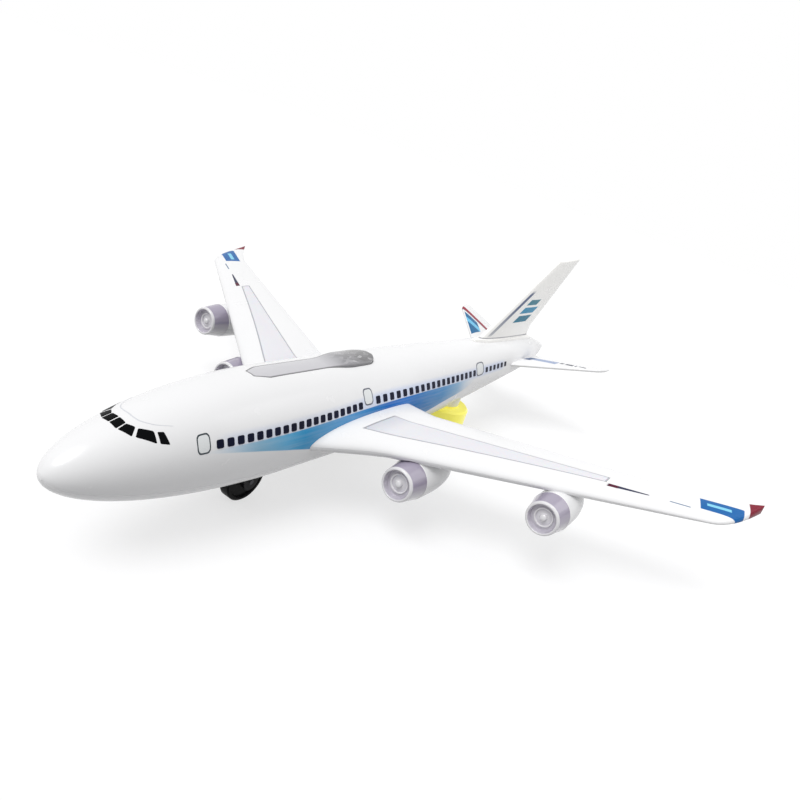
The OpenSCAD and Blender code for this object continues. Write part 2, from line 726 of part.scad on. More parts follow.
// Circuit board and speaker
pcb_x0 = 134;
pcb_x1 = 170;
pcb_half_w = 11;
pcb_t = 1.6;
pcb_z = 33;
pcb_post_r = 2;
pcb_posts = [[pcb_x0 + 3, 8.4], [pcb_x0 + 3, -8.4], [pcb_x1 - 3, 8.4], [pcb_x1 - 3, -8.4]];
speaker_x = 152;
speaker_r = 11.5;
speaker_h = 5;
speaker_z = skin_z(speaker_x, speaker_r, -1, wall) + 1;
speaker_posts = [for (a = [45 : 90 : 315]) [speaker_x + 9 * cos(a), 9 * sin(a)]];
sound_hole_r = 0.9;
sound_ring_r = 4.5;

module fuselage_upper_shell() {
    color(white) difference() {
        union() {
            body_shell(-seam_angle, 180 + seam_angle);
            for (p = case_screw_at) post(p[0], p[1], boss_r, seam_z(p[0]) + seat_gap / 2, 1);
        }
        for (p = case_screw_at)
            translate([p[0], p[1], seam_z(p[0]) - 1])
                cylinder(r = pilot_r, h = screw_len - screw_seat_depth + 2);
        roof_slab(seat_gap, 4, -roof_t - seat_gap, 1);
        roof_slab(-roof_ledge, 4, -2 * wall, 0);
        for (s = [0, 1]) mirror([0, s, 0]) {
            tongue(seat_gap);
            wire_hole();
            tailplane_slot();
        }
        translate([fin_tab_x0 - seat_gap, -fin_tab_t / 2 - seat_gap, fin_tab_z - 1])
            cube([fin_tab_x1 - fin_tab_x0 + 2 * seat_gap, fin_tab_t + 2 * seat_gap, 3 * fin_tab_h]);
    }
}

module fuselage_lower_shell() {
    color(white) difference() {
        union() {
            body_shell(180 + seam_angle, 360 - seam_angle);
            for (p = case_screw_at) post(p[0], p[1], boss_r, seam_z(p[0]) - seat_gap / 2, -1);
            for (p = leg_at) post(p[0], p[1], leg_r, leg_z, -1);
            for (p = pcb_posts) post(p[0], p[1], pcb_post_r, pcb_z, -1);
            for (p = speaker_posts) post(p[0], p[1], 1.6, speaker_z, -1);
            translate([pod_x, 0, socket_z]) cylinder(r = socket_r, h = socket_top_z - socket_z);
            translate([switch_x - switch_l / 2, -switch_w / 2, switch_belly_z + wall / 2])
                cube([switch_l, switch_w, switch_pad_z - switch_belly_z - wall / 2]);
        }
        for (p = case_screw_at) {
            translate([p[0], p[1], 0]) cylinder(d = screw_head_d + 2 * seat_gap, h = screw_seat_z(p));
            translate([p[0], p[1], 0]) cylinder(d = screw_d + 2 * seat_gap, h = axis_z);
        }
        for (p = leg_at)
            translate([p[0], p[1], leg_z - gear_screw_len]) cylinder(r = pilot_r, h = gear_screw_len + 1);
        translate([pod_x, 0, 0]) cylinder(r = neck_r + move_gap / 2, h = axis_z);
        translate([door_x0 - seat_gap, -door_half_w - seat_gap, 0])
            cube([door_x1 - door_x0 + 2 * seat_gap, 2 * (door_half_w + seat_gap), axis_z - body_rad / 2]);
        translate([nose_wheel_x - fork_half_len - seat_gap, -fork_half_w - seat_gap, 0])
            cube([2 * (fork_half_len + seat_gap), 2 * (fork_half_w + seat_gap), axis_z - body_rad / 2]);
        translate([switch_x - stem_l / 2 - switch_travel / 2 - move_gap, -stem_w / 2 - move_gap, 0])
            cube([stem_l + switch_travel + 2 * move_gap, stem_w + 2 * move_gap, switch_pad_z + 1]);
        translate([speaker_x, 0, 0]) {
            cylinder(r = sound_hole_r, h = axis_z / 2 + 2);
            for (a = [0 : 60 : 300])
                translate([sound_ring_r * cos(a), sound_ring_r * sin(a), 0])
                    cylinder(r = sound_hole_r, h = axis_z / 2 + 2);
        }
    }
}

module roof_light_window() {
    color([0.55, 0.55, 0.58, 0.8]) roof_slab(0, 0, -roof_t, 1);
}

// Lamp board on the flat top of the battery case
module roof_light_board() {
    roof_board_l = 30;
    roof_board_w = 9;
    color(board_green) {
        translate([case_x, -roof_board_w / 2, case_top_z]) cube([roof_board_l, roof_board_w, board_t]);
        for (i = [0 : 2])
            translate([case_x + roof_board_l * (i + 0.5) / 3, 0, case_top_z + board_t])
                cylinder(r = lamp_r, h = lamp_h);
    }
}

module wing_upper_shell() {
    color(white) {
        difference() {
            wing_skin(1, wing_top_t);
            body_clearance();
            bar_slab(seat_gap, 4, -bar_t - seat_gap);
            bar_slab(-bar_ledge, 4, -4 * wing_wall);
            wire_hole();
        }
        tongue();
    }
}

module wing_lower_shell() {
    color(white) difference() {
        union() {
            difference() {
                wing_skin(-1, wing_under_t);
                body_clearance();
            }
            for (p = engines) nacelle_body(p);
            for (i = [0, 1]) {
                y = mix(board_y0 + 8, board_y1 - 8, i);
                z0 = chord_z(board_x(y), y, 0.5) - wing_t(y, wing_under_t) + wing_wall / 4;
                translate([board_x(y), y, z0]) cylinder(r = stalk_r, h = board_z(y) - z0 - seat_gap);
            }
        }
        for (p = engines) nacelle_bore(p);
    }
}

module wing_light_bar() {
    color(frosted) bar_slab(0, 0, -bar_t);
}

module wing_light_board() {
    color(board_green) {
        skin(board_grid(board_t), board_grid(0), closed = false);
        for (i = [0 : lamp_count - 1]) {
            y = mix(board_y0 + 6, board_y1 - 6, i / (lamp_count - 1));
            translate([board_x(y), y, board_z(y) + board_t / 2])
                cylinder(r = lamp_r, h = lamp_h + board_t / 2);
        }
    }
}

module engine_leds() {
    r = engine_lamp_d / 2;
    color([0.95, 0.95, 0.9]) for (p = engines, q = [p, right(p)])
        engine_axis(q) translate([0, 0, lamp_deep - engine_lamp_len]) {
            translate([0, 0, r]) cylinder(r = r, h = engine_lamp_len - r);
            translate([0, 0, r]) sphere(r = r);
        }
}

module tail_fin() {
    color(white) {
        skin(fin_grid(1), fin_grid(-1), closed = false, flip = true);
        skin(foot_grid(fin_foot_h), foot_grid(fin_foot_gap), closed = false, flip = true);
        translate([fin_tab_x0, -fin_tab_t / 2, fin_tab_z])
            cube([fin_tab_x1 - fin_tab_x0, fin_tab_t, fin_tab_h + fin_foot_h]);
    }
}

module tailplane_slot() {
    y = body_r(tab_x);
    translate([tab_x - tab_w / 2 - seat_gap, y - tailplane_tab, tailplane_z(y) - tab_t / 2 - seat_gap])
        cube([tab_w + 2 * seat_gap, 2 * tailplane_tab, tab_t + 2 * seat_gap]);
}

module tailplane() {
    y = body_r(tab_x);
    color(white) {
        difference() {
            skin(tailplane_grid(1), tailplane_grid(-1), closed = false);
            body_solid(root_gap);
        }
        translate([tab_x - tab_w / 2, y - tailplane_tab + wall, tailplane_z(y) - tab_t / 2])
            cube([tab_w, tailplane_tab, tab_t]);
    }
}

module nose_gear_fork() {
    color(black) difference() {
        union() {
            translate([nose_wheel_x - fork_half_len, -fork_half_w, belly_z])
                cube([2 * fork_half_len, 2 * fork_half_w, fork_top_z - belly_z]);
            translate([nose_wheel_x - fork_half_len - fork_flange, -fork_half_w - fork_flange, fork_flange_z])
                cube([2 * (fork_half_len + fork_flange), 2 * (fork_half_w + fork_flange), fork_flange_t]);
            for (s = [-1, 1])
                translate([nose_wheel_x, s * (nose_cheek_y + nose_cheek_t / 2) + nose_cheek_t / 2, 0])
                    rotate([90, 0, 0]) linear_extrude(nose_cheek_t) {
                        translate([0, nose_wheel_r]) circle(r = cheek_r);
                        polygon([
                            [-cheek_r, nose_wheel_r], [cheek_r, nose_wheel_r],
                            [2 * cheek_r, belly_z + 1], [-2 * cheek_r, belly_z + 1]
                        ]);
                    }
        }
        translate([nose_wheel_x - nose_wheel_r - move_gap, -nose_cheek_y, 0])
            cube([2 * (nose_wheel_r + move_gap), 2 * nose_cheek_y, fork_well_z]);
        translate([nose_wheel_x, fork_half_w + 1, nose_wheel_r]) rotate([90, 0, 0])
            cylinder(d = nose_axle_d, h = 2 * fork_half_w + 2);
    }
}

module nose_axle() {
    color(steel) translate([nose_wheel_x, fork_half_w + 0.3, nose_wheel_r]) rotate([90, 0, 0])
        cylinder(d = nose_axle_d, h = 2 * fork_half_w + 0.6);
}

// A wheel turned about Y, with a dished hub and a round bore
module wheel_of(r, w, hub_r, dish, bore_r) {
    rotate([90, 0, 0]) translate([0, 0, -w / 2]) rotate_extrude()
        polygon([
            [bore_r, 0], [hub_r, 0], [hub_r, dish], [r - 2.2, dish], [r - 1.6, 0], [r - 0.6, 0], [r, 0.6],
            [r, w - 0.6], [r - 0.6, w], [r - 1.6, w], [r - 2.2, w - dish], [hub_r, w - dish], [hub_r, w],
            [bore_r, w]
        ]);
}

module nose_wheel() {
    color(black) translate([nose_wheel_x, 0, nose_wheel_r])
        wheel_of(nose_wheel_r, nose_wheel_w, 3, 1, nose_axle_d / 2 + shaft_gap);
}

module drive_pod_housing() {
    color(yellow) translate([pod_x, 0, 0]) difference() {
        union() {
            rotate_extrude($fn = 96)
                polygon([
                    [0, pod_ceiling_z], [pod_r - pod_wall, pod_ceiling_z], [pod_r - pod_wall, pod_bottom_z],
                    [pod_r, pod_bottom_z], [pod_r, pod_top_z - 1.2], [pod_r - 1.2, pod_top_z],
                    [neck_r, pod_top_z], [neck_r, neck_shoulder_z], [neck_step_r, neck_shoulder_z],
                    [neck_step_r, neck_top_z], [0, neck_top_z]
                ]);
            for (s = [-1, 1]) {
                translate([-bearing_half_l, s * (cheek_y + cheek_t / 2) - cheek_t / 2, pod_bottom_z])
                    cube([2 * bearing_half_l, cheek_t, pod_ceiling_z - pod_bottom_z + 0.5]);
                translate([s * pod_screw_x, 0, pod_bottom_z])
                    cylinder(r = pod_boss_r, h = pod_ceiling_z - pod_bottom_z + 0.5);
            }
        }
        translate([0, 0, pod_bottom_z]) cylinder(r = shaft_d / 2 + shaft_gap, h = neck_top_z);
        translate([0, cheek_y + cheek_t + 1, drive_wheel_r]) rotate([90, 0, 0])
            cylinder(r = drive_axle_d / 2 + shaft_gap, h = 2 * (cheek_y + cheek_t + 1));
        for (s = [-1, 1])
            translate([s * pod_screw_x, 0, pod_bottom_z - 1]) cylinder(r = pilot_r, h = pod_screw_len - 1);
    }
}

module drive_pod_base() {
    slot_half = sqrt(pow(drive_wheel_r, 2) - pow(drive_wheel_r - pod_bottom_z, 2)) + 2 * move_gap;
    color(yellow) translate([pod_x, 0, pod_floor_z]) difference() {
        cylinder(r = pod_r, h = pod_base_t, $fn = 96);
        for (s = [-1, 1]) {
            translate([-slot_half, s * (wheel_y + drive_wheel_w / 2) - drive_wheel_w / 2 - move_gap, -1])
                cube([2 * slot_half, drive_wheel_w + 2 * move_gap, pod_base_t + 2]);
            translate([s * pod_screw_x, 0, -1]) cylinder(d = screw_d + 2 * seat_gap, h = pod_base_t + 2);
        }
    }
}

module drive_pod_retainer() {
    color(white) translate([pod_x, 0, neck_shoulder_z]) difference() {
        cylinder(r = retainer_r, h = retainer_t);
        translate([0, 0, -1]) cylinder(r = neck_step_r, h = retainer_t + 2);
    }
}

module pod_screws() {
    color(steel) for (s = [-1, 1])
        translate([pod_x + s * pod_screw_x, 0, 0]) {
            translate([0, 0, pod_floor_z - 1.2]) cylinder(d = screw_head_d - 0.6, h = 1.2);
            translate([0, 0, pod_floor_z]) cylinder(d = screw_d, h = pod_screw_len - 2);
        }
}

module drive_axle() {
    half = wheel_y + drive_wheel_w - 0.6;
    color(steel) translate([pod_x, half, drive_wheel_r]) rotate([90, 0, 0])
        cylinder(d = drive_axle_d, h = 2 * half);
}

module crown_gear() {
    color(white) translate([pod_x, crown_y, drive_wheel_r]) rotate([-90, 0, 0]) difference() {
        union() {
            cylinder(r = crown_r, h = crown_t);
            for (i = [0 : crown_teeth - 1])
                rotate([0, 0, 360 * i / crown_teeth]) translate([crown_r - 1.6, -0.4, -crown_tooth_h])
                    cube([1.4, 0.8, crown_tooth_h + 0.2]);
        }
        translate([0, 0, -1]) cylinder(d = drive_axle_d, h = crown_t + 2);
    }
}

module pod_wheel(side, bore) {
    color(yellow) translate([pod_x, side * (wheel_y + drive_wheel_w / 2), drive_wheel_r])
        wheel_of(drive_wheel_r - tyre_t, drive_wheel_w, 2.6, 1.2, bore);
}

module pod_tyre(side) {
    color(black) translate([pod_x, side * (wheel_y + drive_wheel_w / 2), drive_wheel_r])
        rotate([90, 0, 0]) translate([0, 0, -drive_wheel_w / 2]) rotate_extrude()
            polygon([
                [drive_wheel_r - tyre_t, 0.6], [drive_wheel_r - 0.7, 0.6], [drive_wheel_r, 1.3],
                [drive_wheel_r, drive_wheel_w - 1.3], [drive_wheel_r - 0.7, drive_wheel_w - 0.6],
                [drive_wheel_r - tyre_t, drive_wheel_w - 0.6]
            ]);
}

module drive_shaft() {
    z0 = drive_wheel_r + drive_axle_d / 2 + move_gap + 1.5;
    color(steel) translate([pod_x, 0, z0]) cylinder(d = shaft_d, h = cover_z + cover_t - z0);
}

module shaft_gear() {
    color(white) translate([pod_x, 0, slow_gear_z])
        gear(shaft_teeth, slow_module, gear_t, shaft_d / 2, 180 / shaft_teeth);
}

module shaft_pinion() {
    z0 = drive_wheel_r + drive_axle_d / 2 + move_gap + 1.5;
    color(white) translate([pod_x, 0, z0]) difference() {
        linear_extrude(pod_ceiling_z - move_gap - z0)
            polygon([for (i = [0 : 2 * shaft_pinion_teeth - 1])
                let (a = 180 * i / shaft_pinion_teeth, r = i % 2 == 0 ? shaft_pinion_r : shaft_pinion_r - 0.3)
                [r * cos(a), r * sin(a)]]);
        translate([0, 0, -1]) cylinder(d = shaft_d, h = pod_top_z);
    }
}

module idler_gear() {
    bore = idler_pin_r + shaft_gap;
    color(white) translate([idler_x, 0, 0]) {
        translate([0, 0, fast_gear_z]) gear(idler_teeth, fast_module, gear_t, bore, 180 / idler_teeth);
        translate([0, 0, slow_gear_z]) gear(idler_small_teeth, slow_module, fast_gear_z - slow_gear_z, bore);
    }
}

module idler_pin() {
    color(steel) translate([idler_x, 0, base_plate_z])
        cylinder(r = idler_pin_r, h = cover_z + cover_t - base_plate_z);
}

module motor() {
    color(steel) translate([motor_x, 0, 0]) difference() {
        union() {
            translate([0, 0, motor_top_z - motor_h]) linear_extrude(motor_h) intersection() {
                circle(d = motor_w, $fn = 64);
                square([motor_l, motor_w], center = true);
            }
            translate([0, 0, motor_top_z]) cylinder(r = motor_boss_r, h = 0.6);
        }
        translate([0, 0, motor_top_z - motor_h / 2])
            cylinder(r = motor_shaft_r + shaft_gap, h = motor_h);
    }
}

module motor_shaft() {
    z0 = motor_top_z - motor_h / 2 + 0.5;
    color(steel) translate([motor_x, 0, z0]) cylinder(r = motor_shaft_r, h = fast_gear_z + gear_t + 0.4 - z0);
}

module motor_pinion() {
    color([0.8, 0.66, 0.3]) translate([motor_x, 0, fast_gear_z])
        gear(pinion_teeth, fast_module, gear_t, motor_shaft_r, 180 * (1 - pinion_teeth % 2));
}

module gearbox_base() {
    cradle_z = motor_top_z - motor_h - cradle;
    color(black) difference() {
        union() {
            translate([plate_x0, -plate_half_w, base_plate_z])
                cube([plate_x1 - plate_x0, 2 * plate_half_w, base_plate_t]);
            for (p = leg_at) {
                translate([p[0], p[1], leg_z]) cylinder(r = leg_r, h = base_plate_z - leg_z + 0.5);
                translate([p[0], p[1], base_plate_z]) cylinder(r = leg_r, h = cover_z - base_plate_z);
            }
            translate([motor_x - motor_l / 2 - cradle, -motor_w / 2 - cradle, cradle_z])
                cube([motor_l + 2 * cradle, motor_w + 2 * cradle, base_plate_z - cradle_z + 0.5]);
        }
        translate([motor_x - motor_l / 2 - seat_gap / 2, -motor_w / 2 - seat_gap / 2, cradle_z + cradle])
            cube([motor_l + seat_gap, motor_w + seat_gap, motor_h + 2]);
        translate([pod_x, 0, leg_z]) cylinder(r = shaft_d / 2 + shaft_gap, h = axis_z);
        translate([idler_x, 0, leg_z]) cylinder(r = idler_pin_r, h = axis_z);
        for (p = leg_at)
            translate([p[0], p[1], leg_z - 1]) cylinder(d = screw_d + seat_gap, h = axis_z);
    }
}

module gearbox_cover() {
    color(black) difference() {
        translate([plate_x0, -plate_half_w, cover_z]) cube([plate_x1 - plate_x0, 2 * plate_half_w, cover_t]);
        translate([pod_x, 0, cover_z - 1]) cylinder(r = shaft_d / 2 + shaft_gap, h = cover_t + 2);
        translate([idler_x, 0, cover_z - 1]) cylinder(r = idler_pin_r, h = cover_t + 2);
        for (p = leg_at)
            translate([p[0], p[1], cover_z - 1]) cylinder(d = screw_d + seat_gap, h = cover_t + 2);
    }
}

module gearbox_screws() {
    top = cover_z + cover_t;
    color(steel) for (p = leg_at)
        translate([p[0], p[1], 0]) {
            translate([0, 0, leg_z - gear_screw_len + 1])
                cylinder(d = screw_d, h = top - leg_z + gear_screw_len - 1);
            translate([0, 0, top]) cylinder(d = screw_head_d, h = screw_head_h);
        }
}

module battery_case() {
    color(black) difference() {
        along_x(case_x0, case_len) intersection() {
            translate([0, axis_z]) circle(r = case_floor_r, $fn = 96);
            translate([-case_half_w, 0]) square([2 * case_half_w, case_top_z]);
        }
        along_x(cavity_x0, case_cavity) {
            for (c = cells) translate(c) circle(r = cell_r + cell_gap);
            translate([-cell_r - cell_gap, 0]) square([2 * (cell_r + cell_gap), cell_high_z]);
            translate([-door_half_w + door_lip, 0]) square([2 * (door_half_w - door_lip), cell_low_z]);
        }
        translate([door_screw_x, 0, 0]) cylinder(r = pilot_r, h = belly_z + door_screw_len + 1);
    }
}

module battery_cells() {
    nub_r = 2.6;
    nub_h = 1;
    color([0.75, 0.5, 0.2]) for (c = cells)
        translate([cell_x0, c[0], c[1]]) rotate([0, 90, 0]) {
            cylinder(r = cell_r, h = cell_len - nub_h);
            cylinder(r = nub_r, h = cell_len);
        }
}

module battery_contacts() {
    color(steel) for (c = cells, e = [0, 1])
        translate([cavity_x0 + e * case_cavity, c[0], c[1]]) mirror([e, 0, 0]) rotate([0, 90, 0]) {
            cylinder(r = cell_r - 2, h = contact_t);
            translate([0, 0, contact_t]) cylinder(r1 = 3, r2 = 1.6, h = contact_bump);
        }
}

module battery_door() {
    color(white) difference() {
        along_x(door_x0, door_x1 - door_x0) intersection() {
            translate([0, axis_z]) difference() {
                circle(r = body_rad, $fn = 128);
                circle(r = body_rad - wall, $fn = 128);
            }
            translate([-door_half_w, 0]) square([2 * door_half_w, axis_z]);
        }
        translate([door_screw_x, 0, 0]) cylinder(d = screw_d + 2 * seat_gap, h = axis_z);
        translate([door_screw_x, 0, 0]) cylinder(d = screw_head_d + 2 * seat_gap, h = belly_z + 0.8);
    }
}

module battery_door_screw() {
    head_h = 1.4;
    color(steel) translate([door_screw_x, 0, 0]) {
        translate([0, 0, belly_z + 0.8 - head_h]) cylinder(d = screw_head_d, h = head_h);
        translate([0, 0, belly_z + 0.8]) cylinder(d = screw_d, h = door_screw_len);
    }
}

module switch_body() {
    pocket_l = slider_l + switch_travel + 2 * move_gap;
    pocket_w = slider_w + 2 * move_gap;
    color(black) difference() {
        translate([switch_x - switch_l / 2, -switch_w / 2, switch_pad_z])
            cube([switch_l, switch_w, switch_h]);
        translate([switch_x - pocket_l / 2, -pocket_w / 2, switch_pad_z - 1])
            cube([pocket_l, pocket_w, slider_h + 2 * move_gap + 1]);
    }
}

module switch_knob() {
    color(black) translate([switch_x, 0, 0]) {
        translate([-slider_l / 2, -slider_w / 2, switch_pad_z + move_gap])
            cube([slider_l, slider_w, slider_h]);
        translate([-stem_l / 2, -stem_w / 2, switch_belly_z - knob_proud])
            cube([stem_l, stem_w, switch_pad_z + move_gap + 1 - switch_belly_z + knob_proud]);
    }
}

module circuit_board() {
    chip = 8;
    color(board_green) translate([pcb_x0, -pcb_half_w, pcb_z]) {
        cube([pcb_x1 - pcb_x0, 2 * pcb_half_w, pcb_t]);
        translate([(pcb_x1 - pcb_x0) / 2 - chip / 2, pcb_half_w - chip / 2, pcb_t - 0.2])
            cube([chip, chip, 1.8]);
        for (i = [0 : 2])
            translate([8 + 10 * i, 4, pcb_t - 0.2]) cylinder(r = 2, h = 5);
    }
}

module speaker() {
    color(black) translate([speaker_x, 0, speaker_z]) rotate_extrude()
        polygon([
            [0, 1.4], [3, 0.8], [speaker_r - 2, 0.4], [speaker_r - 1.2, 0], [speaker_r, 0], [speaker_r, 1.6],
            [speaker_r - 2, 2], [speaker_r * 0.6, speaker_h - 1], [speaker_r * 0.6, speaker_h], [0, speaker_h]
        ]);
}

module case_screws() {
    color(steel) for (p = case_screw_at)
        translate([p[0], p[1], 0]) screw(screw_seat_z(p), screw_len - 1);
}

fuselage_upper_shell();
fuselage_lower_shell();
roof_light_window();
roof_light_board();
wing_upper_shell();  // left_wing_upper_shell
wing_lower_shell();  // left_wing_lower_shell
wing_light_bar();  // left_wing_light_bar
wing_light_board();  // left_wing_light_board
mirror([0, 1, 0]) wing_upper_shell();  // right_wing_upper_shell
mirror([0, 1, 0]) wing_lower_shell();  // right_wing_lower_shell
mirror([0, 1, 0]) wing_light_bar();  // right_wing_light_bar
mirror([0, 1, 0]) wing_light_board();  // right_wing_light_board
engine_lens(left_inner);  // left_inner_engine_lens
engine_lens(left_outer);  // left_outer_engine_lens
engine_lens(right(left_inner));  // right_inner_engine_lens
engine_lens(right(left_outer));  // right_outer_engine_lens
engine_leds();
tail_fin();
tailplane();  // left_tailplane
mirror([0, 1, 0]) tailplane();  // right_tailplane
nose_gear_fork();
nose_axle();
nose_wheel();
drive_pod_housing();
drive_pod_base();
drive_pod_retainer();
pod_screws();
drive_axle();
crown_gear();
pod_wheel(1, drive_axle_d / 2);  // driven_wheel
pod_tyre(1);  // driven_tyre
pod_wheel(-1, drive_axle_d / 2 + shaft_gap);  // free_wheel
pod_tyre(-1);  // free_tyre
drive_shaft();
shaft_gear();
shaft_pinion();
idler_gear();
idler_pin();
motor();
motor_shaft();
motor_pinion();
gearbox_base();
gearbox_cover();
gearbox_screws();
battery_case();
battery_cells();
battery_contacts();
battery_door();
battery_door_screw();
switch_body();
switch_knob();
circuit_board();
speaker();
case_screws();
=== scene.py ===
"""Looks of a battery toy airliner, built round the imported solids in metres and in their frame."""

import json
import logging
import math
from collections.abc import Callable
from dataclasses import dataclass
from enum import Enum

import bmesh
import bpy
from mathutils import Matrix, Vector

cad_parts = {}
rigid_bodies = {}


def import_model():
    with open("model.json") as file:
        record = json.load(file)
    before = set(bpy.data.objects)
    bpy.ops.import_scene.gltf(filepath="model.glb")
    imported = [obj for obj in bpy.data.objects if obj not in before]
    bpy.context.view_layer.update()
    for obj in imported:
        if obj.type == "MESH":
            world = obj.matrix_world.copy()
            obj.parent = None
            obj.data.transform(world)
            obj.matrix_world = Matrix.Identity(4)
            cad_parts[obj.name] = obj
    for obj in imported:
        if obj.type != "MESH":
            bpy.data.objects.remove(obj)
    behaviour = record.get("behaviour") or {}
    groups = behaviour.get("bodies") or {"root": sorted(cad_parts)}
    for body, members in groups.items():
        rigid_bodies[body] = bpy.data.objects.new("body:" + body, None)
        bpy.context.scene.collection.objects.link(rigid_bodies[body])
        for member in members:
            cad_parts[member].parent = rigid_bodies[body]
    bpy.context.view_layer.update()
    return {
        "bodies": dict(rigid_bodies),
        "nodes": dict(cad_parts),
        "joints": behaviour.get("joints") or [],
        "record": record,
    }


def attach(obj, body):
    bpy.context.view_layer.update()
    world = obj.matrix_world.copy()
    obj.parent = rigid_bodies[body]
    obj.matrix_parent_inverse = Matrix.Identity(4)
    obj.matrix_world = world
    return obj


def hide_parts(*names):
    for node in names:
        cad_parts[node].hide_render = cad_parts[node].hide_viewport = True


LOG = logging.getLogger("toy_airliner")
BODY = "airframe"
MM = 0.001
CREASE = 32.0
WELD = 1e-7

Point = tuple[float, float, float]
Spot = tuple[float, float]
Quad = tuple[float, float, float, float]
Line = list[Spot]
Grid = list[list[Point]]
Shade = tuple[int, int, int]
Stops = tuple[tuple[float, Shade], ...]
Piece = bpy.types.Object
Socket = bpy.types.NodeSocket
Input = Socket | float
Printed = tuple[Socket, Socket | None]

# Height of the cabin windows at stations along the body, in millimetres.
WINDOW_ROW: tuple[Spot, ...] = (
    (162, 47.0), (138, 47.7), (119, 48.0), (100, 48.5), (76, 49.5), (61, 50.4), (20, 50.5),
    (-30, 49.9), (-104, 49.3),
)


def ramp(v: float, start: float, end: float) -> float:
    """Straight 0 to 1 ramp between two limits."""
    return min(1.0, max(0.0, (v - start) / (end - start)))


def mix(a: float, b: float, t: float) -> float:
    """Value a share t of the way from a to b."""
    return a + (b - a) * t


def steps(a: float, b: float, count: int) -> list[float]:
    """Values from a to b in equal steps, without a itself."""
    return [mix(a, b, i / count) for i in range(1, count + 1)]


def sind(a: float) -> float:
    """Sine of degrees."""
    return math.sin(math.radians(a))


def cosd(a: float) -> float:
    """Cosine of degrees."""
    return math.cos(math.radians(a))


def tand(a: float) -> float:
    """Tangent of degrees."""
    return math.tan(math.radians(a))


def acosd(v: float) -> float:
    """Degrees of a cosine, which is first held between -1 and 1."""
    return math.degrees(math.acos(max(-1.0, min(1.0, v))))


def leg(long: float, short: float) -> float:
    """Third side of a right-angled triangle, or 0 where there is none."""
    return math.sqrt(max(0.0, long ** 2 - short ** 2))


def chord(a: float) -> float:
    """Share of a wing's chord at an angle along its section, from 0 in front to 1 behind."""
    return (1 - cosd(a)) / 2


def bulge(a: float) -> float:
    """Height of a wing's section at an angle along it: blunt in front, thin behind."""
    return sind(a) * (1 - 0.55 * chord(a)) / 0.77


def linear(shade: Shade) -> Quad:
    """Scene colour of a shade.

    Args:
        shade: screen values from 0 to 255.

    Returns:
        The linear colour, opaque.
    """
    def one(v: float) -> float:
        """Linear value of one screen value."""
        v /= 255
        return v / 12.92 if v <= 0.04045 else ((v + 0.055) / 1.055) ** 2.4

    return (*(one(v) for v in shade), 1.0)


